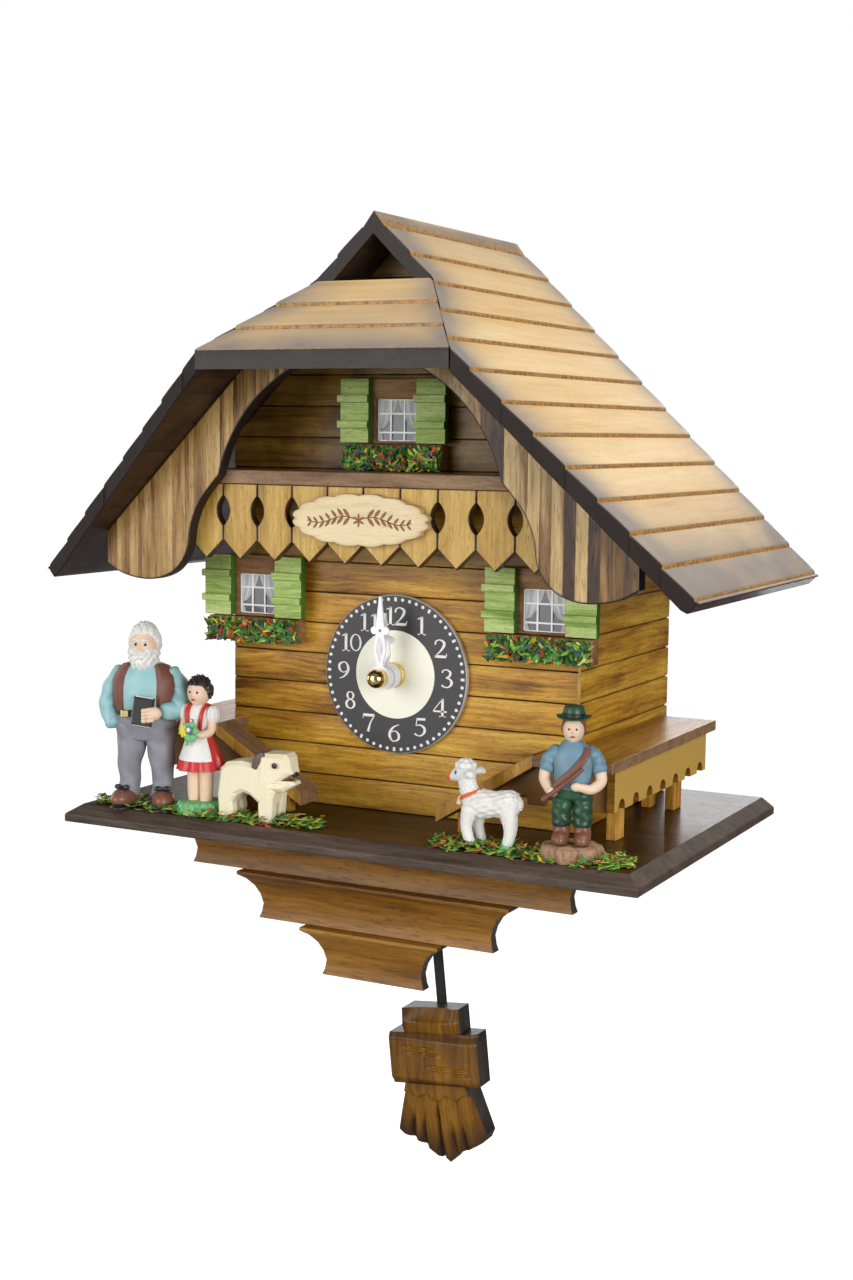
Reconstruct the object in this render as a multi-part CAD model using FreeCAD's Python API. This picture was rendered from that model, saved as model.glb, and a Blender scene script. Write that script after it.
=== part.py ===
"""Wall clock in the shape of a mountain chalet, with a battery movement and a swinging pendulum.

Millimetres, +Z up, -Y towards the room, +X to the right of the dial.
Every piece is drawn from the centre of the dial on the front face of the front wall.
When it is written it is moved, so that the origin is the hanging hole in the back board.
"""
import FreeCAD, Part
import math
import os

V = FreeCAD.Vector

# Driving dimensions
DIAL_DIAMETER = 52.0
HOUSE_HALF = 63.2
HOUSE_DEPTH = 82.4
HANGER_HEIGHT = 88.0
HANGER_RADIUS = 4.0
WALL = 2.7
BACK_Y = 87.7
RIDGE_Z = 146.1
ROOF_BOARD = 5.0
EAVE_HALF = 114.1
COURSE = 9.8
COURSE_STEP = 0.9
GABLET_HALF, GABLET_Y = 20.7, -19.2
HIP_HALF, HIP_Y = 43.4, -52.6
EAVE_Y = -37.0
PLATFORM_HALF = 101.5
PLATFORM_FRONT = -44.8
PLATFORM_TOP, PLATFORM_THICK = -46.1, 5.6
PLATFORM_LIP, PLATFORM_BEVEL = 2.6, 4.4
TIER_HEIGHT = 15.9
TIER_HALVES = {"cornice_upper": 76.5, "cornice_middle": 50.0, "cornice_lower": 25.5}
SHELF_HALF, SHELF_TOP, SHELF_THICK = 65.0, 65.7, 4.4
PICKETS = 10
DECK_TOP, DECK_THICK, DECK_OUT = -18.5, 3.4, 83.8
LOWER_WINDOW_X = 52.5
PENDULUM_PIVOT = V(0, 15.5, -24)
PENDULUM_TILT = 6.2
MOTION_ARBOR_Z = -10.0

ROOF_UNDER = RIDGE_Z - ROOF_BOARD * math.sqrt(2)


# Helpers
def box(x0, x1, y0, y1, z0, z1):
    return Part.makeBox(x1 - x0, y1 - y0, z1 - z0, V(x0, y0, z0))


def rod_y(x, z, y0, y1, radius):
    """Round bar along Y."""
    return Part.makeCylinder(radius, y1 - y0, V(x, y0, z), V(0, 1, 0))


def limb(start, end, r0, r1):
    """Tapered bar between two points, with a ball at each end."""
    axis = end - start
    if abs(r0 - r1) < 0.01:
        bar = Part.makeCylinder(r0, axis.Length, start, axis)
    else:
        bar = Part.makeCone(r0, r1, axis.Length, start, axis)
    return fuse([bar, Part.makeSphere(r0, start), Part.makeSphere(r1, end)])


def oval(centre, rx, ry, rz):
    """Ellipsoid."""
    matrix = FreeCAD.Matrix()
    matrix.scale(rx, ry, rz)
    solid = Part.makeSphere(1.0).transformGeometry(matrix)
    solid.translate(centre)
    return solid


def fuse(solids):
    whole = solids[0]
    if len(solids) > 1:
        whole = whole.fuse(solids[1:])
    return whole.removeSplitter()


def plate(points, y0, y1):
    """Flat board in the XZ plane: straight-sided outline pushed from y0 to y1."""
    corners = [V(x, y0, z) for x, z in points]
    face = Part.Face(Part.makePolygon(corners + corners[:1]))
    return face.extrude(V(0, y1 - y0, 0))


def plan(points, z0, z1):
    """Straight-sided outline in the XY plane pushed from z0 to z1."""
    corners = [V(x, y, z0) for x, y in points]
    face = Part.Face(Part.makePolygon(corners + corners[:1]))
    return face.extrude(V(0, 0, z1 - z0))


def side(points, x0, x1):
    """Straight-sided outline in the YZ plane pushed from x0 to x1."""
    corners = [V(x0, y, z) for y, z in points]
    face = Part.Face(Part.makePolygon(corners + corners[:1]))
    return face.extrude(V(x1 - x0, 0, 0))


def mirrored(shape):
    return shape.mirror(V(0, 0, 0), V(1, 0, 0))


def save(name, shape):
    """Move the piece from the dial's frame to the hanging hole's frame and write it."""
    moved = shape.copy()
    moved.translate(V(0, -HOUSE_DEPTH, -HANGER_HEIGHT))
    moved.exportStep("parts/%s.step" % name)


def save_pair(name, right):
    save(name + "_right", right)
    save(name + "_left", mirrored(right))


# Roof
def roof_right():
    """45 degree board with stepped shingle courses, mitred at the ridge and cut to its plan outline."""
    steps = [(0, RIDGE_Z)]
    x = COURSE_STEP
    while x < EAVE_HALF - COURSE_STEP:
        low = min(x + COURSE, EAVE_HALF)
        steps.append((low, RIDGE_Z - low))
        if low < EAVE_HALF:
            steps.append((low - COURSE_STEP / 2, RIDGE_Z - low - COURSE_STEP / 2))
        x = low
    under = ROOF_BOARD / math.sqrt(2)
    eave_bottom = (EAVE_HALF - under, RIDGE_Z - EAVE_HALF - under)
    profile = plate(steps + [eave_bottom, (0, ROOF_UNDER)], HIP_Y, BACK_Y)
    outline = [(0, GABLET_Y), (GABLET_HALF, GABLET_Y), (HIP_HALF, HIP_Y), (EAVE_HALF, EAVE_Y),
               (EAVE_HALF, BACK_Y), (0, BACK_Y)]
    return profile.common(plan(outline, 0, RIDGE_Z + 1))


def hip_panel():
    """Sloping board that closes the front of the roof below the gablet."""
    top, low = RIDGE_Z - GABLET_HALF, RIDGE_Z - HIP_HALF
    slope = math.atan2(top - low, GABLET_Y - HIP_Y)
    drop = ROOF_BOARD / math.cos(slope)
    profile = [(GABLET_Y, top), (HIP_Y, low), (HIP_Y, low - drop), (GABLET_Y, top - drop)]
    board = side(profile, -HIP_HALF, HIP_HALF)
    outline = [(-GABLET_HALF, GABLET_Y), (GABLET_HALF, GABLET_Y), (HIP_HALF, HIP_Y), (-HIP_HALF, HIP_Y)]
    return board.common(plan(outline, 0, RIDGE_Z))


def gable_trim_right():
    """Board under the eave with an arch over the window and a hanging lobe."""
    front, back = -30.0, -25.5
    arch_centre, arch_radius = 51.5, 51.3
    crown, cusp = V(0, front, arch_centre + arch_radius), V(49.8, front, 64.0)
    half = math.radians(52)
    middle = V(arch_radius * math.sin(half), front, arch_centre + arch_radius * math.cos(half))
    arch = Part.Arc(crown, middle, cusp).toShape()
    lobe = Part.BSplineCurve()
    lobe.interpolate([cusp, V(57.0, front, 55.5), V(60.4, front, 47.9), V(62.0, front, 39.5), V(66.5, front, 33.0),
                      V(73.5, front, 29.8), V(81.0, front, 29.3), V(88.5, front, 31.0), V(94.2, front, 34.0)])
    gap = 0.02
    top = 108.0
    ends = [V(94.2, front, 34.0), V(94.2, front, ROOF_UNDER - 94.2 - gap), V(ROOF_UNDER - top - gap, front, top),
            V(0, front, top), crown]
    edges = [arch, lobe.toShape()] + [Part.makeLine(a, b) for a, b in zip(ends, ends[1:])]
    return Part.Face(Part.Wire(edges)).extrude(V(0, back - front, 0))


# House
def gable(half, y0, y1):
    """House-shaped board from the platform up to the underside of the roof."""
    shoulder = ROOF_UNDER - half
    outline = [(-half, PLATFORM_TOP), (half, PLATFORM_TOP), (half, shoulder), (0, ROOF_UNDER), (-half, shoulder)]
    return plate(outline, y0, y1)


def front_wall():
    return gable(HOUSE_HALF, 0, WALL).cut(rod_y(0, 0, -1, WALL + 1, 4.1))


def wall_right():
    inner = HOUSE_HALF - WALL
    outline = [(inner, PLATFORM_TOP), (HOUSE_HALF, PLATFORM_TOP), (HOUSE_HALF, ROOF_UNDER - HOUSE_HALF),
               (inner, ROOF_UNDER - inner)]
    return plate(outline, WALL, HOUSE_DEPTH)


def back_board():
    """Board between the side walls, with the access opening and the hanging hole."""
    board = gable(HOUSE_HALF - WALL, HOUSE_DEPTH - 3, HOUSE_DEPTH)
    opening = box(-38, 38, HOUSE_DEPTH - 4, HOUSE_DEPTH + 1, -36, 36)
    hole = rod_y(0, HANGER_HEIGHT, HOUSE_DEPTH - 4, HOUSE_DEPTH + 1, HANGER_RADIUS)
    return board.cut(opening).cut(hole)


def platform_board():
    """Base board bevelled on three edges, with a slot for the pendulum."""
    low = PLATFORM_TOP - PLATFORM_THICK
    lip = low + PLATFORM_LIP
    half, inset = PLATFORM_HALF, PLATFORM_BEVEL
    across = [(-half, low), (half, low), (half, lip), (half - inset, PLATFORM_TOP),
              (inset - half, PLATFORM_TOP), (-half, lip)]
    along = [(PLATFORM_FRONT, low), (BACK_Y, low), (BACK_Y, PLATFORM_TOP),
             (PLATFORM_FRONT + inset, PLATFORM_TOP), (PLATFORM_FRONT, lip)]
    board = plate(across, PLATFORM_FRONT, BACK_Y).common(side(along, -half, half))
    return board.cut(box(-16, 16, 8, 24, low - 1, PLATFORM_TOP + 1))


def corner_blocks():
    """Glue blocks that hold the walls to the platform."""
    length = 40.0
    blocks = []
    for x in (-HOUSE_HALF + WALL, HOUSE_HALF - WALL - 8):
        blocks.append(box(x, x + 8, 20, 20 + length, PLATFORM_TOP, PLATFORM_TOP + 8))
    return Part.makeCompound(blocks)


def cornice(half, top):
    """Coved strip below the platform, its ends cut to the same cove."""
    front, back = -19.5, -11.5
    cove = [(0.0, 0.0), (0.0, 1.2), (2.6, 2.4), (5.3, 4.9), (7.0, 7.8), (7.9, 11.0), (7.4, 14.0),
            (6.6, TIER_HEIGHT)]
    right = [(half - inset, top - drop) for inset, drop in cove]
    ends = plate([(-x, z) for x, z in reversed(right)] + right, front, back)
    depth = 0.55
    face = [(front + inset * depth, top - drop) for inset, drop in cove]
    strip = side(face + [(back, top - TIER_HEIGHT), (back, top)], -half, half)
    return ends.common(strip)


# Balcony
def balcony_shelf():
    return box(-SHELF_HALF, SHELF_HALF, -25.2, 0, SHELF_TOP - SHELF_THICK, SHELF_TOP)


def balcony_pickets():
    """Board cut into ten pointed pickets with an almond-shaped hole on each seam."""
    top, notch, tip = SHELF_TOP - SHELF_THICK, 43.0, 36.8
    pitch = 2 * SHELF_HALF / PICKETS
    outline = [(SHELF_HALF, top), (-SHELF_HALF, top), (-SHELF_HALF, notch)]
    for i in range(PICKETS):
        left = -SHELF_HALF + i * pitch
        outline.append((left + pitch / 2, tip))
        outline.append((left + pitch, notch))
    board = plate(outline, -24, -21)
    for i in range(1, PICKETS):
        board = board.cut(almond(-SHELF_HALF + i * pitch, 52.5, 2.3, 4.8))
    return board


def almond(x, z, half_width, half_height):
    """Cutter with two arcs that meet at points above and below."""
    y = -25.0
    top, low = V(x, y, z + half_height), V(x, y, z - half_height)
    arcs = [Part.Arc(top, V(x + half_width, y, z), low).toShape(),
            Part.Arc(low, V(x - half_width, y, z), top).toShape()]
    return Part.Face(Part.Wire(arcs)).extrude(V(0, 5, 0))


def plaque():
    """Oval nameplate with sixteen scallops round its edge."""
    half_width, half_height, scallops = 24.9, 8.4, 16
    edges = []
    for i in range(scallops):
        a, b = 2 * math.pi * i / scallops, 2 * math.pi * (i + 1) / scallops
        ring = [V(0.955 * half_width * math.cos(t), -27, 51 + 0.93 * half_height * math.sin(t)) for t in (a, b)]
        m = (a + b) / 2
        middle = V(half_width * math.cos(m), -27, 51 + half_height * math.sin(m))
        edges.append(Part.Arc(ring[0], middle, ring[1]).toShape())
    return Part.Face(Part.Wire(edges)).extrude(V(0, 3, 0))


# Windows
def window_frame(x, top):
    """Board behind the shutters with the opening for the pane."""
    frame = box(x - 13, x + 13, -3, 0, top - 20.4, top)
    return frame.cut(box(x - 7.3, x + 7.3, -4, 1, top - 19.8, top - 6.4))


def window_pane(x, top):
    return box(x - 7.3, x + 7.3, -1.4, -0.4, top - 19.8, top - 6.4)


def shutters(x, top):
    """Two boards with two proud battens each."""
    pair = []
    for inner in (x - 19.0, x + 8.6):
        leaf = [box(inner, inner + 10.4, -5.8, -3, top - 20.4, top)]
        for drop in (5.2, 13.4):
            leaf.append(box(inner - 0.4, inner + 10.8, -7.4, -5.8, top - drop - 2.3, top - drop))
        pair.append(fuse(leaf))
    return Part.makeCompound(pair)


def flower_box(x, top):
    return box(x - 18, x + 18, -9.5, 0, top - 29.4, top - 20.8)


# Porch on the right; the left one mirrors it
def porch_deck():
    """Board that wraps the front corner of the house."""
    side_in = HOUSE_HALF + 0.02
    outline = [(57.6, -21.4), (DECK_OUT, -21.4), (DECK_OUT, 75), (side_in, 75), (side_in, -0.02), (57.6, -0.02)]
    return plan(outline, DECK_TOP - DECK_THICK, DECK_TOP)


def arches(first, last, count, bottom, height):
    """Centre and half width of evenly spaced arch notches along one edge."""
    pitch = (last - first) / count
    return [(first + pitch * (i + 0.5), pitch * 0.22, bottom, height) for i in range(count)]


def porch_apron():
    """Board below the outer edge of the deck with seven arches."""
    top, bottom = DECK_TOP - DECK_THICK, -34.4
    board = box(80.4, 83.1, -17, 67, bottom, top)
    for y, half, low, height in arches(-17, 67, 7, bottom, 3.4):
        board = board.cut(box(79, 85, y - half, y + half, low - 1, low + height - half))
        board = board.cut(Part.makeCylinder(half, 6, V(79, y, low + height - half), V(1, 0, 0)))
    return board


def porch_skirt():
    """Board below the front of the deck that follows the stair, with three arches."""
    bottom = -35.0
    deck_under = DECK_TOP - DECK_THICK - 0.02
    outline = [(80.36, bottom), (80.36, deck_under), (57.7, deck_under), (57.4, -22.6), (39.0, -34.2), (39.0, bottom)]
    board = plate(outline, -15.5, -13)
    for x, half, low, height in arches(46.0, 78.0, 3, bottom, 3.6):
        board = board.cut(box(x - half, x + half, -17, -11, low - 1, low + height - half))
        board = board.cut(rod_y(x, low + height - half, -17, -11, half))
    return board


def stair_rail():
    """Sloping plank from the deck down towards the middle of the house."""
    outline = [(57.5, -18.2), (57.5, -22.3), (24.6, -42.9), (24.6, -38.2)]
    return plate(outline, -20.5, -9.5)


def porch_posts():
    """Three posts below the deck."""
    posts = []
    for x, y in ((74.9, -3), (74.9, 50), (66.5, 50)):
        posts.append(box(x, x + 3.4, y, y + 7, PLATFORM_TOP, DECK_TOP - DECK_THICK))
    posts.append(box(30.5, 33.5, -16.5, -13.5, PLATFORM_TOP, -39.4))
    return Part.makeCompound(posts)


# Figures: plain solids of the right size and place
def person(x, y, height, girth, extras):
    """Standing figure: two legs, body, two arms and head, feet on the platform."""
    z = PLATFORM_TOP
    h = height
    hip, shoulder = z + 0.44 * h, z + 0.74 * h
    parts = [oval(V(x, y, (hip + shoulder) / 2), 0.14 * h * girth, 0.1 * h * girth, 0.2 * h),
             Part.makeSphere(0.085 * h, V(x, y, z + 0.885 * h)),
             Part.makeCylinder(0.04 * h, 0.12 * h, V(x, y, shoulder - 0.03 * h))]
    for sign in (-1, 1):
        foot = V(x + sign * 0.085 * h, y, z)
        parts.append(Part.makeCone(0.05 * h, 0.075 * h, hip - z, foot))
        parts.append(limb(V(x + sign * 0.14 * h * girth, y, shoulder - 0.04 * h),
                          V(x + sign * 0.17 * h * girth, y - 0.02 * h, z + 0.47 * h), 0.05 * h, 0.035 * h))
        parts.append(box(foot.x - 0.055 * h, foot.x + 0.055 * h, y - 0.13 * h, y + 0.04 * h, z, z + 0.06 * h))
    return fuse(parts + extras)


def old_man():
    x, y, z, h = -76.5, -33.0, PLATFORM_TOP, 61.8
    beard = oval(V(x, y - 3.6, z + 0.80 * h), 4.6, 3.0, 6.0)
    book = box(x + 1.5, x + 8.0, y - 9.2, y - 5.0, z + 0.50 * h, z + 0.64 * h)
    return person(x, y, h, 1.15, [beard, book])


def girl():
    x, y, z, h = -55.8, -32.0, PLATFORM_TOP, 45.4
    skirt = Part.makeCone(0.17 * h, 0.09 * h, 0.28 * h, V(x, y, z + 0.28 * h))
    base = Part.makeCylinder(7.2, 3.4, V(x, y, z))
    return person(x, y, h, 0.62, [skirt, base])


def shepherd():
    x, y, z, h = 75.0, -30.5, PLATFORM_TOP, 45.8
    brim = Part.makeCylinder(5.2, 1.0, V(x, y, z + 0.93 * h))
    crown = Part.makeCone(3.5, 2.9, 2.8, V(x, y, z + 0.94 * h))
    base = Part.makeCylinder(9.4, 4.4, V(x, y, z))
    return person(x, y, h, 1.0, [brim, crown, base])


def four_legs(x, y, length, width, height, leg):
    """Barrel body on four legs, along X."""
    z = PLATFORM_TOP
    body_z = z + 0.52 * height
    parts = [limb(V(x - 0.24 * length, y, body_z), V(x + 0.24 * length, y, body_z), 0.19 * height, 0.2 * height)]
    for dx in (-0.27 * length, 0.25 * length):
        for dy in (-0.28 * width, 0.28 * width):
            parts.append(Part.makeCone(leg, leg * 1.25, body_z - z, V(x + dx, y + dy, z)))
    return parts


def dog():
    x, y, z = -33.0, -31.5, PLATFORM_TOP
    parts = four_legs(x - 2.0, y, 22.0, 10.0, 21.0, 1.9)
    parts.append(limb(V(x + 3.5, y, z + 12), V(x + 6.5, y, z + 17.0), 4.2, 4.6))
    parts.append(limb(V(x + 6.0, y, z + 17.4), V(x + 11.6, y, z + 14.6), 4.2, 2.2))
    return fuse(parts)


def lamb():
    x, y, z = 47.5, -32.0, PLATFORM_TOP
    parts = four_legs(x + 1.5, y, 18.0, 8.6, 21.0, 1.5)
    parts.append(limb(V(x - 4.0, y, z + 13), V(x - 6.2, y, z + 21.5), 3.0, 2.4))
    parts.append(limb(V(x - 6.0, y, z + 22.6), V(x - 9.6, y, z + 21.0), 3.2, 1.6))
    parts.append(Part.makeSphere(2.6, V(x - 5.6, y, z + 25.2)))
    return fuse(parts)


def grass(points, figures):
    """Thin scattered turf on the platform, cut round the feet that stand in it."""
    turf = plan(points, PLATFORM_TOP, PLATFORM_TOP + 1.4)
    for figure in figures:
        turf = turf.cut(figure)
    return turf


# Clock work
def dial():
    disc = rod_y(0, 0, -2.2, 0, DIAL_DIAMETER / 2)
    return disc.cut(rod_y(0, 0, -3, 1, 4.1))


def movement_housing():
    """Plastic case: works below, battery bay above, a fixed pin for the pendulum arm."""
    case = box(-28, 28, WALL, 20.7, -32, 28)
    works = box(-26.5, 26.5, WALL + 1.5, 21, -30.5, 9.5)
    bay = box(-26.6, 26.6, WALL + 1.5, 21, 11.2, 26.8)
    slot = box(-8, 8, 13.0, 17.6, -33, -30)
    case = case.cut(works).cut(bay).cut(slot).cut(rod_y(0, 0, 0, 6, 4.0))
    pin = rod_y(PENDULUM_PIVOT.x, PENDULUM_PIVOT.z, WALL + 1, 19, 1.0)
    return fuse([case, pin])


def movement_lid():
    plate_back = box(-28, 28, 20.7, 22.2, -32, 10.2)
    return plate_back.cut(rod_y(0, MOTION_ARBOR_Z, 20, 23, 1.55))


def battery():
    cell = Part.makeCylinder(7.1, 49.0, V(-25.0, 12.4, 19.0), V(1, 0, 0))
    nub = Part.makeCylinder(2.6, 1.4, V(24.0, 12.4, 19.0), V(1, 0, 0))
    return fuse([cell, nub])


def threaded_bush():
    """Brass tube that clamps the movement to the wall."""
    tube = rod_y(0, 0, -5.6, 6.0, 4.0)
    flange = rod_y(0, 0, 4.2, 6.0, 6.0)
    return fuse([tube, flange]).cut(rod_y(0, 0, -7, 7, 2.65))


def hex_nut():
    flats = [(6.4 * math.cos(math.radians(60 * i)), 6.4 * math.sin(math.radians(60 * i))) for i in range(6)]
    return plate(flats, -4.6, -2.2).cut(rod_y(0, 0, -6, 0, 4.0))


def hour_wheel():
    """Wheel inside the case and the tube that carries the hour hand."""
    tube = rod_y(0, 0, -9.8, 13, 2.6)
    wheel = rod_y(0, 0, 11, 13, 7.85)
    return fuse([tube, wheel]).cut(rod_y(0, 0, -11, 14, 1.55))


def minute_arbor():
    return fuse([rod_y(0, 0, -16.6, 18, 1.5), rod_y(0, 0, 14, 16, 2.35)])


def motion_wheel():
    """Wheel and pinion between the two hands, on the arbor of the setting knob."""
    z = MOTION_ARBOR_Z
    return fuse([rod_y(0, z, 14, 16, 7.35), rod_y(0, z, 10.6, 14, 1.85), rod_y(0, z, 6, 24, 1.5)])


def setting_knob():
    z = MOTION_ARBOR_Z
    return rod_y(0, z, 22.6, 27.6, 6.0).cut(rod_y(0, z, 22, 24, 1.5))


def hand(length, y, hub_radius, hub_length, hole):
    """Hand pointing up: hub, open lyre, cross with two round lobes, and a tapered blade."""
    cross, waist, belly = 0.585 * length, 0.19 * length, 0.34 * length
    back = y + 0.7
    lyre = [(1.0, 2.0), (1.2, waist), (2.2, belly), (2.0, 0.42 * length), (1.2, cross)]
    eye = [(0, waist + 0.4), (1.2, belly), (1.0, 0.42 * length), (0, 0.5 * length)]
    solids = [plate([(-x, z) for x, z in lyre] + lyre[::-1], y, back),
              plate([(-1.6, cross), (-0.4, length), (0.4, length), (1.6, cross)], y, back),
              box(-2.0, 2.0, y, back, cross - 0.9, cross + 0.6), rod_y(-2.0, cross, y, back, 1.3),
              rod_y(2.0, cross, y, back, 1.3), rod_y(0, 0, y, y + hub_length, hub_radius)]
    openings = [plate([(-x, z) for x, z in eye] + eye[-2:0:-1], y - 1, back + 1),
                rod_y(0, cross, y - 1, back + 1, 0.5), rod_y(0, 0, y - 1, y + 6, hole)]
    blank = fuse(solids)
    for opening in openings:
        blank = blank.cut(opening)
    return blank


def cap_nut():
    """Domed brass nut on the end of the minute arbor."""
    body = rod_y(0, 0, -14.5, -12.6, 3.1)
    dome = Part.makeSphere(3.1, V(0, -14.5, 0))
    return fuse([body, dome]).cut(rod_y(0, 0, -16.6, -12, 1.5)).cut(box(-4, 4, -12.6, -10, -4, 4))


def hung(shape):
    """Swing a piece of the pendulum about its pivot to its resting place."""
    shape.rotate(PENDULUM_PIVOT, V(0, 1, 0), -PENDULUM_TILT)
    return shape


def pendulum_arm():
    pivot = PENDULUM_PIVOT
    arm = box(-2.6, 2.6, 14.0, 15.5, pivot.z - 14, pivot.z)
    eye = rod_y(0, pivot.z, 14.0, 15.5, 2.6)
    return hung(fuse([arm, eye]).cut(rod_y(0, pivot.z, 13, 17, 1.05)))


def pendulum_rod():
    z = PENDULUM_PIVOT.z
    return hung(box(-1.7, 1.7, 15.5, 16.4, z - 128, z - 8))


def pendulum_bob():
    """Carved block: neck, wide middle and a leaf that fans out to a point."""
    z = PENDULUM_PIVOT.z
    half = [(10.3, 89.5), (10.3, 97.6), (16.0, 98.4), (16.0, 115.2), (11.3, 116.0), (16.6, 131.5), (9.5, 136.5)]
    right = [(x, z - drop) for x, drop in half]
    outline = [(-x, zz) for x, zz in reversed(right)] + right + [(2.0, z - 142.0)]
    return hung(plate(outline, 5.5, 15.5))


def build():
    os.makedirs("parts", exist_ok=True)
    save_pair("roof", roof_right())
    save("hip_panel", hip_panel())
    save_pair("gable_trim", gable_trim_right())
    save("front_wall", front_wall())
    save_pair("side_wall", wall_right())
    save("back_board", back_board())
    save("platform_board", platform_board())
    save("corner_blocks", corner_blocks())
    top = PLATFORM_TOP - PLATFORM_THICK
    for name, half in TIER_HALVES.items():
        save(name, cornice(half, top))
        top -= TIER_HEIGHT
    save("balcony_shelf", balcony_shelf())
    save("balcony_pickets", balcony_pickets())
    save("plaque", plaque())
    windows = {"upper": (0.0, 95.2), "left": (-LOWER_WINDOW_X, 36.8), "right": (LOWER_WINDOW_X, 36.8)}
    save("window_panes", Part.makeCompound([window_pane(*place) for place in windows.values()]))
    for name, place in windows.items():
        save("window_frame_" + name, window_frame(*place))
        save("shutters_" + name, shutters(*place))
        save("flower_box_" + name, flower_box(*place))
    save_pair("porch_deck", porch_deck())
    save_pair("porch_apron", porch_apron())
    save_pair("porch_skirt", porch_skirt())
    save_pair("stair_rail", stair_rail())
    save_pair("porch_posts", porch_posts())
    people = {"old_man": old_man(), "girl": girl(), "dog": dog(), "lamb": lamb(), "shepherd": shepherd()}
    for name, shape in people.items():
        save(name, shape)
    left_turf = [(-94, -39), (-70, -40), (-10, -36), (-7, -32), (-14, -28), (-60, -27), (-92, -32)]
    right_turf = [(32, -39), (60, -40), (94, -38), (93, -33), (86, -28), (60, -24.5), (36, -30)]
    save("grass_left", grass(left_turf, [people[name] for name in ("old_man", "girl", "dog")]))
    save("grass_right", grass(right_turf, [people[name] for name in ("lamb", "shepherd")]))
    save("dial", dial())
    save("movement_housing", movement_housing())
    save("movement_lid", movement_lid())
    save("battery", battery())
    save("threaded_bush", threaded_bush())
    save("hex_nut", hex_nut())
    save("hour_wheel", hour_wheel())
    save("minute_arbor", minute_arbor())
    save("motion_wheel", motion_wheel())
    save("setting_knob", setting_knob())
    save("hour_hand", hand(20.7, -9.6, 4.1, 3.8, 2.6))
    save("minute_hand", hand(26.2, -12.6, 4.0, 2.4, 1.5))
    save("cap_nut", cap_nut())
    save("pendulum_arm", pendulum_arm())
    save("pendulum_rod", pendulum_rod())
    save("pendulum_bob", pendulum_bob())


build()
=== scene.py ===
# %% [markdown]
# # A chalet wall clock
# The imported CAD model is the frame. It fixes every size, place and joint of the clock.
# This script dresses that frame: planked walls, shingled roof, painted windows, turf and figures.
# Each step first says what the piece is on the real clock, then how it is made here and why.

import math

import bmesh
import bpy
import numpy as np
from mathutils import Matrix, Vector


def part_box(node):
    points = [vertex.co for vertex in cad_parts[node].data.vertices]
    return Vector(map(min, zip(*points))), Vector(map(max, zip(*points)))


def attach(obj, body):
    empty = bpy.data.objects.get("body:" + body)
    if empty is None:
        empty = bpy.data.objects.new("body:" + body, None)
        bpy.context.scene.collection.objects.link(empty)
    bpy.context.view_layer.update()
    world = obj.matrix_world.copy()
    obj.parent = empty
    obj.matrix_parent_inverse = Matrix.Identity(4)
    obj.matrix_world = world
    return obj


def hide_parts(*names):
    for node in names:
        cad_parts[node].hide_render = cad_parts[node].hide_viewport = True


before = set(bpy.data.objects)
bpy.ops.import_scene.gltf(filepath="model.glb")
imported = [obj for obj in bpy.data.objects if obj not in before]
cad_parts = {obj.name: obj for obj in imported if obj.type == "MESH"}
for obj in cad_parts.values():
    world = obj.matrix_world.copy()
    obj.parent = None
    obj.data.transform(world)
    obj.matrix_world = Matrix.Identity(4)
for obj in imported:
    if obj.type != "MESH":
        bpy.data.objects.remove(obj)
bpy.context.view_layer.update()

# %% [markdown]
# ## Measures
# A clock maker measures from the middle of the dial, so every shape below is in millimetres from there:
# X to the right, Y into the wall, Z up. One function moves the finished points to the row's metres.

# %% Measures
MM = 0.001
dial_low, dial_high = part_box("dial")
wall_low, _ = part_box("front_wall")
ORIGIN = np.array([(dial_low.x + dial_high.x) / 2, wall_low.y, (dial_low.z + dial_high.z) / 2])


def corners(node):
    """Lowest and highest corner of a CAD node, in millimetres from the middle of the dial."""
    low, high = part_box(node)
    return (np.array(low) - ORIGIN) / MM, (np.array(high) - ORIGIN) / MM


ROOF_HIGH = corners("roof_right")[1]
HIP_LOW, HIP_HIGH = corners("hip_panel")
WALL_HIGH = corners("front_wall")[1]
FLOOR_LOW, FLOOR_HIGH = corners("platform_board")
RIDGE, EAVE, ROOF_BACK = ROOF_HIGH[2], ROOF_HIGH[0], ROOF_HIGH[1]
HOUSE_HALF, WALL_TOP = WALL_HIGH[0], WALL_HIGH[2]
GROUND = FLOOR_HIGH[2]
print("ridge %.1f, eave %.1f, ground %.1f mm from the dial" % (RIDGE, EAVE, GROUND))

# %% [markdown]
# ## Shapes from grids
# Every new piece is a skin over a grid of points worked out with whole arrays.
# A shell is a dictionary: its points, its faces, and what is painted on the points.
# One darkening mark holds how much stain was sprayed there and, on the walls and figures, how much shade is
# painted into recesses and folds; "tone" is how light that strip of wood is, "tint" is a colour.

# %% Grid tools


def grid_quads(rows, columns, wrap=False):
    """Four-sided faces of a rows by columns grid; wrap also joins the last column to the first."""
    index = np.arange(rows * columns).reshape(rows, columns)
    if wrap:
        index = np.column_stack([index, index[:, :1]])
    quads = np.stack([index[:-1, :-1], index[:-1, 1:], index[1:, 1:], index[1:, :-1]], -1)
    return quads.reshape(-1, 4)


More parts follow.
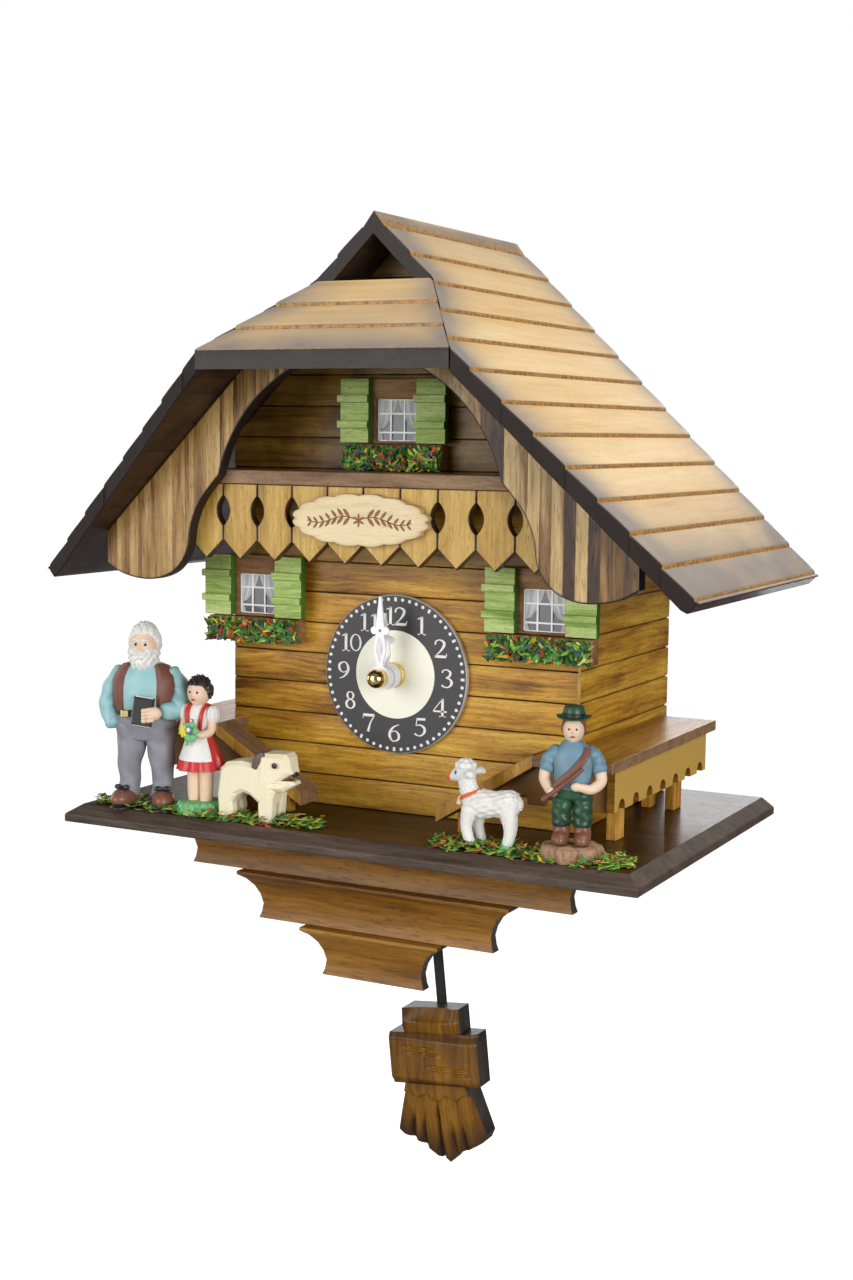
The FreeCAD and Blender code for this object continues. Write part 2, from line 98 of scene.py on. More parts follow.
def slab(front, back, keep=None, wrap=False, burn=None, tone=None, uv=None, slots=(0, 0, 1)):
    """Board between two grids of the same layout: front face, back face, and a wall round every open rim."""
    rows, columns = front.shape[:2]
    count = rows * columns
    quads = grid_quads(rows, columns, wrap)
    if keep is not None:
        quads = quads[keep.reshape(-1)]
    start, end = quads.reshape(-1), np.roll(quads, -1, 1).reshape(-1)
    rim = ~np.isin(end * count + start, start * count + end)
    walls = np.stack([end[rim], start[rim], start[rim] + count, end[rim] + count], -1)
    faces = [quads, quads[:, ::-1] + count, walls]
    shell = {"points": np.concatenate([front.reshape(-1, 3), back.reshape(-1, 3)]), "faces": faces}
    shell["slots"] = [np.full(len(face), slot) for face, slot in zip(faces, slots)]
    for name, values in (("burn", burn), ("tone", tone), ("uv", uv)):
        if values is not None:
            flat = np.asarray(values, float).reshape(count, -1)
            shell[name] = np.concatenate([flat, flat])
    return shell


def lofted(rings, burn=None, tone=None, uv=None, column_slots=None, end_slots=(0, 0)):
    """Skin over closed rings (m, n, 3), closed by one flat polygon at each end."""
    m, n = rings.shape[:2]
    quads = grid_quads(m, n, wrap=True)
    ends = [np.arange(n)[::-1][None], (m - 1) * n + np.arange(n)[None]]
    slots = np.zeros(n, int) if column_slots is None else np.asarray(column_slots)
    shell = {"points": rings.reshape(-1, 3), "faces": [quads] + ends}
    shell["slots"] = [np.tile(slots, m - 1), np.array([end_slots[0]]), np.array([end_slots[1]])]
    for name, values in (("burn", burn), ("tone", tone), ("uv", uv)):
        if values is not None:
            shell[name] = np.asarray(values, float).reshape(m * n, -1)
    return shell

# %% Curves, boards and blocks


def smooth(values, count):
    """Catmull-Rom curve through the given rows: cubic spans whose slopes are half the neighbours' gap."""
    values = np.asarray(values, float)
    padded = np.concatenate([2 * values[:1] - values[1:2], values, 2 * values[-1:] - values[-2:-1]])
    place = np.linspace(0, len(values) - 1, count)
    span = np.minimum(place.astype(int), len(values) - 2)
    t = (place - span).reshape((-1,) + (1,) * (values.ndim - 1))
    a, b, c, d = (padded[span + k] for k in range(4))
    return 0.5 * (2 * b + (c - a) * t + (2 * a - 5 * b + 4 * c - d) * t**2 + (3 * b - a - 3 * c + d) * t**3)


def offset(outline, distance):
    """Closed outline moved inwards by distance: each corner goes along the mitre of its two edges."""
    ahead = np.roll(outline, -1, 0) - outline
    ahead = ahead / np.maximum(np.linalg.norm(ahead, axis=1, keepdims=True), 1e-9)
    behind = np.roll(ahead, 1, 0)
    inward = np.column_stack([-ahead[:, 1], ahead[:, 0]]) + np.column_stack([-behind[:, 1], behind[:, 0]])
    area = np.sum(outline[:, 0] * np.roll(outline[:, 1], -1) - np.roll(outline[:, 0], -1) * outline[:, 1])
    scale = np.sign(area) * distance * 2 / np.maximum(np.sum(inward**2, 1), 1.0)
    return outline + inward * scale[:, None]


def plate(outline, low, high, ease=0.35, fade=0.0, axes="xzy", grain="v", slots=(0, 1)):
    """Board: outline in two axes pushed along the third; arrises eased, stain fading in by fade."""
    outline = np.asarray(outline, float)
    steps = [(ease, low, 1.0), (0.0, low + ease, 1.0), (0.0, high - ease, 1.0), (ease, high, 1.0)]
    if fade:
        steps = [(ease + fade, low, 0.0)] + steps + [(ease + fade, high, 0.0)]
    order = ["xyz".index(letter) for letter in axes]
    rings = np.zeros((len(steps), len(outline), 3))
    for row, (inset, level, _) in enumerate(steps):
        flat = offset(outline, inset) if inset else outline
        rings[row][:, order[0]] = flat[:, 0]
        rings[row][:, order[1]] = flat[:, 1]
        rings[row][:, order[2]] = level
    burn = np.repeat([step[2] for step in steps], len(outline))
    pair = rings[:, :, order[:2]]
    uv = pair[..., ::-1] if grain == "v" else pair
    shell = lofted(rings, burn=burn if fade else None, uv=uv)
    sides = np.full((len(steps) - 1, len(outline)), slots[1])
    if fade:
        sides[0] = slots[0]
        sides[-1] = slots[0]
    shell["slots"][0] = sides.reshape(-1)
    shell["slots"][1:] = [np.array([slots[0]])] * 2
    return shell


def block(x0, x1, y0, y1, z0, z1, ease=0.3, **finish):
    """Eased rectangular stick between six planes."""
    return plate([(x0, z0), (x1, z0), (x1, z1), (x0, z1)], y0, y1, ease, **finish)

# %% Limbs and lumps


def skin(path, wide, deep, across=(1, 0, 0), rings=24, around=24, dome=0.6, form=None):
    """Round-ended limb: ovals of half-sizes wide and deep, square to a smooth path, with domed ends."""
    count = rings
    centre = smooth(path, count)
    half = smooth(np.column_stack([wide, deep]), count)
    tangent = np.gradient(centre, axis=0)
    tangent /= np.linalg.norm(tangent, axis=1, keepdims=True)
    a = np.sin(np.radians([80, 60, 40, 20]))[:, None]
    shrink = np.cos(np.radians([80, 60, 40, 20]))[:, None]
    reach = dome * half.min(1)
    centre = np.concatenate([centre[0] - tangent[0] * reach[0] * a, centre,
                             centre[-1] + tangent[-1] * reach[-1] * a[::-1]])
    half = np.concatenate([half[0] * shrink, half, half[-1] * shrink[::-1]])
    tangent = np.concatenate([np.repeat(tangent[:1], 4, 0), tangent, np.repeat(tangent[-1:], 4, 0)])
    side = np.asarray(across, float) - tangent * (tangent @ np.asarray(across, float))[:, None]
    side /= np.linalg.norm(side, axis=1, keepdims=True)
    up = np.cross(tangent, side)
    turn = np.linspace(0, 2 * np.pi, around, endpoint=False)
    height = np.linspace(0, 1, len(centre))
    swell = np.ones((len(centre), around)) if form is None else form(height[:, None], turn[None, :])
    ring = centre[:, None] + side[:, None] * (half[:, :1] * swell * np.cos(turn))[..., None]
    ring = ring + up[:, None] * (half[:, 1:] * swell * np.sin(turn))[..., None]
    # Painted shade: where the form sinks in, in folds and creases, the point is marked darker.
    burn = np.clip((1.0 - swell) * 6.0, 0, 1)
    return lofted(ring, burn=burn)


def lump(centre, radii, form=None, rows=26, columns=36):
    """Rounded lump: an ellipsoid whose radius is multiplied by form(direction) over the unit sphere."""
    tall = np.linspace(-0.5 * np.pi + 0.06, 0.5 * np.pi - 0.06, rows)
    turn = np.linspace(0, 2 * np.pi, columns, endpoint=False)
    tall, turn = np.meshgrid(tall, turn, indexing="ij")
    way = np.stack([np.cos(tall) * np.cos(turn), np.cos(tall) * np.sin(turn), np.sin(tall)], -1)
    swell = np.ones(tall.shape) if form is None else form(way)
    rings = np.asarray(centre, float) + way * np.asarray(radii, float) * swell[..., None]
    # Painted shade: hollows such as eye sockets and the dips between locks are marked darker.
    return lofted(rings, burn=np.clip((1.0 - swell) * 4.0, 0, 1))


def moved(shell, change):
    """The same shell with its points passed through change."""
    return {**shell, "points": change(shell["points"])}


# %% [markdown]
# ## From shells to pieces
# All the shells of a piece go into one mesh in a single call. Normals are turned outwards there,
# and edges sharper than the given angle stay crisp while the rest shade smoothly.

# %% Make a piece


def make(name, shells, materials, body="clock_case", sharp=32, replaces=(), bevel=0.0):
    """Piece from closed shells: one mesh in metres, with its paint stored on the points."""
    shells = shells if isinstance(shells, list) else [shells]
    points = np.concatenate([shell["points"] for shell in shells])
    starts = np.cumsum([0] + [len(shell["points"]) for shell in shells[:-1]])
    faces = [face + start for shell, start in zip(shells, starts) for face in shell["faces"]]
    slots = np.concatenate([part for shell in shells
                            for part in shell.get("slots", [np.zeros(len(f)) for f in shell["faces"]])])
    used = np.unique(np.concatenate([face.reshape(-1) for face in faces]))
    renumber = np.zeros(len(points), int)
    renumber[used] = np.arange(len(used))
    mesh = bpy.data.meshes.new(name)
    mesh.from_pydata((ORIGIN + points[used] * MM).tolist(), [],
                     [f for face in faces for f in renumber[face].tolist()])
    mesh.polygons.foreach_set("material_index", slots.astype(np.int32))
    mesh.update()
    for key in ("burn", "tone"):
        values = [np.asarray(s.get(key, np.zeros((len(s["points"]), 1)))).reshape(-1) for s in shells]
        kept_values = np.concatenate(values)[used].astype(np.float32)
        mesh.attributes.new(key, "FLOAT", "POINT").data.foreach_set("value", kept_values)
    if any("tint" in shell for shell in shells):
        tint = np.concatenate([shell["tint"] for shell in shells])[used]
        colour = np.column_stack([tint, np.ones(len(tint))]).astype(np.float32).reshape(-1)
        mesh.color_attributes.new("tint", "FLOAT_COLOR", "POINT").data.foreach_set("color", colour)
    if any("uv" in shell for shell in shells):
        flat = np.concatenate([s["uv"] if "uv" in s else s["points"][:, [0, 2]] for s in shells])[used] * MM
        order = np.zeros(len(mesh.loops), np.int32)
        mesh.loops.foreach_get("vertex_index", order)
        mesh.uv_layers.new(name="UVMap").data.foreach_set("uv", flat[order].astype(np.float32).reshape(-1))
    return finish_mesh(mesh, name, materials, body, sharp, replaces, bevel)


def finish_mesh(mesh, name, materials, body, sharp, replaces, bevel):
    """Turn the faces outwards, shade them, and hand the object to the frame."""
    shaper = bmesh.new()
    shaper.from_mesh(mesh)
    bmesh.ops.recalc_face_normals(shaper, faces=shaper.faces)
    shaper.to_mesh(mesh)
    shaper.free()
    for material in materials:
        mesh.materials.append(material)
    if sharp:
        mesh.shade_smooth()
        mesh.set_sharp_from_angle(angle=math.radians(sharp))
    piece = bpy.data.objects.new(name, mesh)
    bpy.context.scene.collection.objects.link(piece)
    if bevel:
        round_over = piece.modifiers.new("eased", "BEVEL")
        round_over.width = bevel * MM
        round_over.segments = 2
        round_over.limit_method = "ANGLE"
        round_over.angle_limit = math.radians(35)
        round_over.harden_normals = True
    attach(piece, body)
    if replaces:
        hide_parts(*replaces)
    print("%-22s %6d faces on %s" % (name, len(mesh.polygons), body))
    return piece

# %% Eased CAD solids


def eased(node, materials, width=0.35, body="clock_case", choose=None, name=None):
    """CAD solid as a joiner would finish it: a merged copy of its mesh whose sharp arrises are rounded over.

    choose gets the face normals and returns each face's material slot."""
    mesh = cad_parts[node].data.copy()
    mesh.materials.clear()
    shaper = bmesh.new()
    shaper.from_mesh(mesh)
    bmesh.ops.remove_doubles(shaper, verts=shaper.verts, dist=1e-6)
    bmesh.ops.dissolve_limit(shaper, angle_limit=math.radians(1.0), verts=shaper.verts, edges=shaper.edges)
    shaper.to_mesh(mesh)
    shaper.free()
    normals = np.zeros(len(mesh.polygons) * 3)
    mesh.polygons.foreach_get("normal", normals)
    if choose is not None:
        chosen = choose(normals.reshape(-1, 3))
        mesh.polygons.foreach_set("material_index", np.asarray(chosen, np.int32))
    return finish_mesh(mesh, name or "eased_" + node, materials, body, 32, (node,), width)


# %% [markdown]
# ## Node tools
# Materials are written as short node recipes. One helper adds a node and fills its sockets,
# so a recipe reads from the coordinates at the left to the shader at the right.

# %% Node tools


def add(tree, kind, values=None, **settings):
    """One shader node: settings are its properties, values are numbers, colours or sockets for its inputs."""
    node = tree.nodes.new("ShaderNode" + kind)
    for key, value in settings.items():
        setattr(node, key, value)
    for key, value in (values or {}).items():
        if isinstance(value, bpy.types.NodeSocket):
            tree.links.new(value, node.inputs[key])
        else:
            node.inputs[key].default_value = value
    return node


def colour(red, green, blue):
    """Linear colour with full alpha."""
    return (red, green, blue, 1.0)


def mix(tree, share, first, second, way="MIX"):
    """Mix two colours by share."""
    return add(tree, "Mix", {0: share, 6: first, 7: second}, data_type="RGBA", blend_type=way).outputs[2]


def sums(tree, way, first, second=0.0, clamp=False):
    """One arithmetic step."""
    return add(tree, "Math", {0: first, 1: second}, operation=way, use_clamp=clamp).outputs[0]


def ramp(tree, value, stops):
    """Colour ramp from a list of (place, colour)."""
    node = add(tree, "ValToRGB", {"Fac": value})
    points = node.color_ramp.elements
    points[0].position, points[0].color = stops[0]
    points[1].position, points[1].color = stops[-1]
    for place, shade in stops[1:-1]:
        points.new(place).color = shade
    return node.outputs["Color"]


def fresh_material(name):
    """New node material: its tree and its Principled shader."""
    material = bpy.data.materials.new(name)
    material.use_nodes = True
    tree = material.node_tree
    shader = tree.nodes["Principled BSDF"]
    return material, tree, shader


def painted(tree, name):
    """A value stored on the piece's points."""
    return add(tree, "Attribute", attribute_name=name, attribute_type="GEOMETRY").outputs["Fac"]


# %% [markdown]
# ## Wood grain
# Grain is long fibres seen from the side: slow bands of colour, fine streaks, and short dark pores.
# Three noises stretched along the grain give those three, and one node group serves every wood here.

# %% Grain group


def grain_group():
    """Grain along the first axis of Place: bands, streaks and pores, each from 0 to 1, and a height."""
    tree = bpy.data.node_groups.new("wood_grain", "ShaderNodeTree")
    tree.interface.new_socket("Place", in_out="INPUT", socket_type="NodeSocketVector")
    size = tree.interface.new_socket("Fineness", in_out="INPUT", socket_type="NodeSocketFloat")
    size.default_value = 1.0
    for name in ("Bands", "Streaks", "Pores", "Height"):
        tree.interface.new_socket(name, in_out="OUTPUT", socket_type="NodeSocketFloat")
    entry = tree.nodes.new("NodeGroupInput")
    leave = tree.nodes.new("NodeGroupOutput")
    scaled = add(tree, "VectorMath", {0: entry.outputs["Place"]}, operation="SCALE")
    tree.links.new(entry.outputs["Fineness"], scaled.inputs["Scale"])
    warp = add(tree, "TexNoise", {"Vector": scaled.outputs[0], "Scale": 22.0, "Detail": 2.0})
    bend = add(tree, "VectorMath", {0: warp.outputs["Color"], 1: (0.004, 0.006, 0.006)}, operation="MULTIPLY")
    bent = add(tree, "VectorMath", {0: scaled.outputs[0], 1: bend.outputs[0]}, operation="ADD").outputs[0]
    results = {}
    for name, stretch, detail in (("Bands", (14, 110, 110), 3.0), ("Streaks", (30, 620, 620), 5.0),
                                  ("Pores", (240, 2600, 2600), 2.0)):
        place = add(tree, "VectorMath", {0: bent, 1: stretch}, operation="MULTIPLY").outputs[0]
        noise = add(tree, "TexNoise", {"Vector": place, "Scale": 1.0, "Detail": detail, "Roughness": 0.62})
        limits = {"Bands": (0.30, 0.70), "Streaks": (0.30, 0.72), "Pores": (0.56, 0.70)}[name]
        wide = add(tree, "MapRange",
                   {"Value": noise.outputs["Fac"], "From Min": limits[0], "From Max": limits[1]})
        results[name] = wide.outputs[0]
        tree.links.new(results[name], leave.inputs[name])
    fine = sums(tree, "MULTIPLY", results["Pores"], -0.55)
    height = sums(tree, "MULTIPLY_ADD", results["Streaks"], 0.5)
    height.node.inputs[2].default_value = 0.0
    tree.links.new(fine, height.node.inputs[2])
    tree.links.new(height, leave.inputs["Height"])
    return tree


GRAIN = grain_group()

# %% [markdown]
# ## Stained wood
# The case is light wood that was stained honey-brown, sprayed darker along its edges and lacquered satin.
# One recipe makes every wood: two stain colours across the grain, dark pores, the sprayed edge and, on some
# pieces, painted shade, both from one darkening mark, the strip's own lightness from "tone", and a thin clear
# coat.

# %% Wood recipe

TURNS = {"X": (0, 0, 0), "Y": (0, 0, -math.pi / 2), "Z": (0, math.pi / 2, 0)}


def wood(name, deep, middle, light, along="UV", fineness=1.0, strip=0.0, contrast=1.0,
         edge=(0.02, 0.012, 0.01),
         burn=0.85, rough=0.38, coat=0.08, relief=0.05, vary=0.35, mirror=0.25, pore=0.55):
    """Stained and lacquered wood; along names the grain's axis, or UV for the piece's own map."""
    material, tree, shader = fresh_material(name)
    where = add(tree, "TexCoord")
    if along == "UV":
        place = where.outputs["UV"]
    else:
        place = add(tree, "Mapping", {"Vector": where.outputs["Object"], "Rotation": TURNS[along]}).outputs[0]
    if strip:
        parts = add(tree, "SeparateXYZ", {"Vector": place})
        number = sums(tree, "FLOOR", sums(tree, "DIVIDE", parts.outputs["Y"], strip * MM))
        chance = add(tree, "TexWhiteNoise", {"W": number}, noise_dimensions="1D").outputs["Value"]
        jump = add(tree, "CombineXYZ", {"X": sums(tree, "MULTIPLY", chance, 3.0), "Y": 0.0, "Z": chance})
        place = add(tree, "VectorMath", {0: place, 1: jump.outputs[0]}, operation="ADD").outputs[0]
    grain = tree.nodes.new("ShaderNodeGroup")
    grain.node_tree = GRAIN
    tree.links.new(place, grain.inputs["Place"])
    grain.inputs["Fineness"].default_value = fineness
    bands, streaks, pores = (grain.outputs[key] for key in ("Bands", "Streaks", "Pores"))
    value = sums(tree, "MULTIPLY", bands, 0.55)
    value = sums(tree, "ADD", value, sums(tree, "MULTIPLY", streaks, 0.45))
    value = sums(tree, "ADD", sums(tree, "MULTIPLY", sums(tree, "SUBTRACT", value, 0.5), contrast), 0.5)
    tone = sums(tree, "MULTIPLY", painted(tree, "tone"), vary)
    if strip:
        tone = sums(tree, "ADD", tone,
                    sums(tree, "MULTIPLY", sums(tree, "SUBTRACT", chance, 0.5), vary * 1.6))
    value = sums(tree, "ADD", value, tone, clamp=True)
    shade = ramp(tree, value, [(0.0, colour(*deep)), (0.45, colour(*middle)), (1.0, colour(*light))])
    shade = mix(tree, sums(tree, "MULTIPLY", pores, pore), shade, colour(*[0.35 * c for c in deep]))
    # The darkening mark mixes in the edge colour: stain sprayed along edges, and painted shade where a piece
    # marks its recesses.
    spray_and_shade_share = sums(tree, "MULTIPLY", painted(tree, "burn"), burn, clamp=True)
    mottle = add(tree, "TexNoise",
                 {"Vector": where.outputs["Object"], "Scale": 95.0, "Detail": 3.0}).outputs["Fac"]
    spray_and_shade_share = sums(tree, "MULTIPLY", spray_and_shade_share, sums(tree, "ADD", mottle, 0.55), clamp=True)
    shade = mix(tree, spray_and_shade_share, shade, colour(*edge))
    tree.links.new(shade, shader.inputs["Base Color"])
    gloss = sums(tree, "ADD", rough, sums(tree, "MULTIPLY", pores, 0.18))
    tree.links.new(gloss, shader.inputs["Roughness"])
    shader.inputs["Coat Weight"].default_value = coat
    shader.inputs["Coat Roughness"].default_value = 0.16
    shader.inputs["Specular IOR Level"].default_value = mirror
    bump = add(tree, "Bump", {"Height": grain.outputs["Height"], "Strength": 0.55, "Distance": relief * MM})
    tree.links.new(bump.outputs[0], shader.inputs["Normal"])
    return material


HONEY = wood("honey_planks", (0.15, 0.052, 0.004), (0.53, 0.255, 0.020), (0.86, 0.53, 0.070), vary=0.30,
             fineness=1.5,
             contrast=1.2)
HONEY_Y = wood("honey_wood_y", (0.19, 0.070, 0.007), (0.60, 0.290, 0.032), (0.88, 0.53, 0.10), along="Y")
HONEY_Z = wood("honey_wood_z", (0.17, 0.065, 0.007), (0.50, 0.24, 0.03), (0.76, 0.46, 0.10), along="Z")
END_GRAIN = wood("end_grain", (0.45, 0.24, 0.05), (0.72, 0.46, 0.14), (0.84, 0.60, 0.25), along="X",
                 fineness=2.0,
                 coat=0.0, rough=0.5, burn=0.1)
CHARCOAL = wood("sprayed_edge", (0.006, 0.005, 0.005), (0.018, 0.014, 0.012), (0.060, 0.044, 0.034),
                along="Y",
                rough=0.5, fineness=1.5)
HIP_EDGE = wood("hip_edge", (0.05, 0.038, 0.030), (0.11, 0.088, 0.070), (0.19, 0.155, 0.12), along="X",
                fineness=1.5,
                rough=0.5, burn=0.95, edge=(0.035, 0.030, 0.028))
WALNUT = wood("walnut_top", (0.014, 0.005, 0.001), (0.042, 0.015, 0.002), (0.10, 0.040, 0.007), along="X",
              rough=0.34, coat=0.12, mirror=0.12)
WALNUT_EDGE = wood("walnut_edge", (0.03, 0.020, 0.014), (0.072, 0.049, 0.036), (0.14, 0.10, 0.075), along="X",
                   fineness=1.6, rough=0.45)
WALNUT_DARK = wood("trim_edge", (0.010, 0.006, 0.003), (0.026, 0.013, 0.007), (0.055, 0.030, 0.016),
                   along="Y",
                   fineness=1.6, rough=0.45)
GREY_END = wood("grey_end", (0.022, 0.018, 0.016), (0.050, 0.040, 0.036), (0.09, 0.075, 0.066), along="Z",
                rough=0.45)
PLAQUE_WOOD = wood("plaque_maple", (0.62, 0.44, 0.24), (0.84, 0.69, 0.42), (0.92, 0.81, 0.58), along="X",
                   edge=(0.45, 0.27, 0.12), coat=0.0, rough=0.5, contrast=0.6, pore=0.2)
CORNICE = wood("cornice_wood", (0.085, 0.030, 0.003), (0.25, 0.106, 0.012), (0.46, 0.23, 0.036), along="X",
               fineness=0.8)
SHELF = wood("shelf_wood", (0.11, 0.055, 0.026), (0.26, 0.150, 0.075), (0.38, 0.24, 0.135), along="X",
             fineness=1.7, coat=0.0, rough=0.45)
REEDED = wood("reeded_veneer", (0.085, 0.036, 0.008), (0.34, 0.185, 0.048), (0.56, 0.36, 0.14), fineness=1.2,
              strip=1.7, vary=0.34, contrast=1.3, edge=(0.022, 0.010, 0.006))
STRIPED = wood("striped_veneer", (0.045, 0.017, 0.005), (0.24, 0.115, 0.028), (0.66, 0.46, 0.20),
               fineness=0.85,
               strip=3.9, vary=0.60, contrast=1.25, edge=(0.022, 0.010, 0.006))
PICKET = wood("picket_wood", (0.20, 0.095, 0.014), (0.49, 0.285, 0.052), (0.72, 0.49, 0.14), vary=0.35,
              fineness=1.5,
              edge=(0.05, 0.020, 0.006))
UNDERSIDE = wood("roof_underside", (0.055, 0.020, 0.003), (0.16, 0.062, 0.009), (0.30, 0.13, 0.022),
                 along="Y")
print("woods ready")

# %% [markdown]
# ## Roof
# The real roof is two plywood slopes faced with shingle boards, each course lapping the one below.
# A slope is a closed skin: at every distance from the ridge one ring runs round the board's section.
# Shingles swell a little and end in a small step, which a simple extrusion would miss.

# %% Roof materials


def roof_material():
    """Whitewashed shingles: pale tan in the middle, a grey mist of spray on the borders, dark orange in the
    laps, partly the raw end of the course above and partly painted shadow under it.
    """
    material, tree, shader = fresh_material("roof_shingles")
    where = add(tree, "TexCoord")
    grain = tree.nodes.new("ShaderNodeGroup")
    grain.node_tree = GRAIN
    tree.links.new(where.outputs["UV"], grain.inputs["Place"])
    grain.inputs["Fineness"].default_value = 0.8
    value = sums(tree, "MULTIPLY", grain.outputs["Bands"], 0.5)
    value = sums(tree, "ADD", value, sums(tree, "MULTIPLY", grain.outputs["Streaks"], 0.35))
    value = sums(tree, "ADD", value, sums(tree, "MULTIPLY", painted(tree, "tone"), 0.25), clamp=True)
    shade = ramp(tree, value, [(0.0, colour(0.58, 0.34, 0.11)), (0.35, colour(0.78, 0.51, 0.21)),
                               (0.75, colour(0.88, 0.63, 0.31)), (1.0, colour(0.92, 0.72, 0.42))])
    shade = mix(tree, sums(tree, "MULTIPLY", grain.outputs["Pores"], 0.22), shade, colour(0.40, 0.22, 0.08))
    cloud = add(tree, "TexNoise",
                {"Vector": where.outputs["Object"], "Scale": 38.0, "Detail": 4.0}).outputs["Fac"]
    burn = painted(tree, "burn")
    mist = sums(tree, "MULTIPLY", sums(tree, "MINIMUM", burn, 1.0), sums(tree, "ADD", cloud, 0.45),
                clamp=True)
    shade = mix(tree, mist, shade, colour(0.27, 0.225, 0.192))
    crumb = add(tree, "TexNoise",
                {"Vector": where.outputs["Object"], "Scale": 700.0, "Detail": 3.0}).outputs["Fac"]
    # Laps: dark orange for the raw end of the course above and for painted shadow under it.
    gold = ramp(tree, crumb, [(0.35, colour(0.17, 0.075, 0.012)), (0.6, colour(0.50, 0.24, 0.035))])
    shade = mix(tree, sums(tree, "SUBTRACT", burn, 1.0, clamp=True), shade, gold)
    tree.links.new(shade, shader.inputs["Base Color"])
    rough = sums(tree, "ADD", 0.34, sums(tree, "MULTIPLY", cloud, 0.12))
    tree.links.new(rough, shader.inputs["Roughness"])
    shader.inputs["Coat Weight"].default_value = 0.12
    shader.inputs["Coat Roughness"].default_value = 0.25
    shader.inputs["Specular IOR Level"].default_value = 0.35
    bump = add(tree, "Bump", {"Height": grain.outputs["Height"], "Strength": 0.5, "Distance": 0.05 * MM})
    tree.links.new(bump.outputs[0], shader.inputs["Normal"])
    return material


SHINGLES = roof_material()

# %% Roof slopes

COURSE, FIRST_COURSE = 9.1, 3.6
GABLET_HALF, GABLET_FRONT = RIDGE - HIP_HIGH[2], HIP_HIGH[1]
HIP_HALF, HIP_FRONT, EAVE_FRONT = HIP_HIGH[0], HIP_LOW[1], -37.0
ROOF_UNDER = RIDGE - 5.0 * math.sqrt(2)


def course_sections(first, last, seed):
    """Stations from the ridge to the eave: distance, depth below the outer plane, lap mark, course tone."""
    rng = np.random.default_rng(seed)
    share = np.array([0.0, 0.035, 0.055, 0.2, 0.4, 0.6, 0.8, 0.94, 0.985, 1.0])
    depth = np.array([1.10, 1.00, 0.80, 0.62, 0.40, 0.20, 0.05, 0.0, 0.04, 0.20])
    lap = np.array([1.0, 1.0, 0.0, 0.0, 0.0, 0.0, 0.0, 0.0, 0.0, 0.7])
    stations = [np.array([[0.0, 0.0, 0.0, 0.0, 0.0]])]
    low = first
    while low < last - 0.5:
        high = min(low + COURSE, last)
        tone, jut = rng.uniform(-0.5, 0.5), rng.uniform(0.0, 0.7)
        place = low + 0.05 + share * (high - low - 0.05)
        stations.append(np.column_stack([place, depth, lap, np.full(10, tone), np.full(10, jut)]))
        low = high
    return np.concatenate(stations)


def roof_slope(sign):
    """Closed skin of one slope, ring by ring away from the ridge."""
    x, depth, lap, tone, jut = course_sections(FIRST_COURSE, EAVE, 3 + sign).T
    front = np.interp(x, [0, GABLET_HALF, HIP_HALF, EAVE],
                      [GABLET_FRONT, GABLET_FRONT, HIP_FRONT, EAVE_FRONT])
    front = front + np.where(x > GABLET_HALF, jut, 0.4 * jut)
    top = RIDGE - x - depth
    under = np.minimum(np.maximum(ROOF_UNDER - x, x - (2 * EAVE - RIDGE)), top - 0.3)
    across = np.linspace(0, 1, 34) ** 1.15
    back = np.full(len(x), ROOF_BACK) - 0.4 * jut
    y_top = (front + 0.4)[:, None] + across * (back - front - 0.8)[:, None]
    y = np.concatenate([y_top, back[:, None], back[:, None], (back - 0.4)[:, None], (front + 0.4)[:, None],
                        front[:, None], front[:, None]], 1)
    edge_top, edge_low = (top - 0.35)[:, None], (under + 0.35)[:, None]
    edge_low = np.minimum(edge_low, edge_top - 0.05)
    z = np.concatenate([np.repeat(top[:, None], 34, 1), edge_top, edge_low, under[:, None], under[:, None],
                        edge_low, edge_top], 1)
    rings = np.stack([np.repeat(sign * x[:, None], 40, 1), y, z], -1)
    near_front = (y - front[:, None]) * 0.8
    near_back = back[:, None] - y
    near_eave = (EAVE - x)[:, None] * 1.41 + 0 * y
    near_ridge = x[:, None] * 1.41 + 0 * y
    mist = 1.10 * np.exp(-(near_front / 11.0) ** 1.5) + 1.0 * np.exp(-near_back / 9.0)
    mist = mist + 1.15 * np.exp(-(near_eave / 24.0) ** 1.6) + 0.55 * np.exp(-near_ridge / 16.0) + 0.06
    # Laps carry marks above one, for the raw end of the course above and for painted shadow under it;
    # elsewhere the spray mist.
    burn = np.where(lap[:, None] > 0.05, 1.0 + lap[:, None], np.clip(mist, 0, 1))
    uv = np.stack([y, np.repeat(x[:, None] * 1.41, 40, 1)], -1)
    slots = [0] * 33 + [1] * 3 + [2] + [1] * 3
    return lofted(rings, burn=burn, tone=np.repeat(tone[:, None], 40, 1), uv=uv, column_slots=slots,
                  end_slots=(2, 1))


for side_name, sign in (("right", 1), ("left", -1)):
    make("shingled_slope_" + side_name, roof_slope(sign), [SHINGLES, CHARCOAL, UNDERSIDE],
         replaces=("roof_" + side_name,))

# %% Hip panel


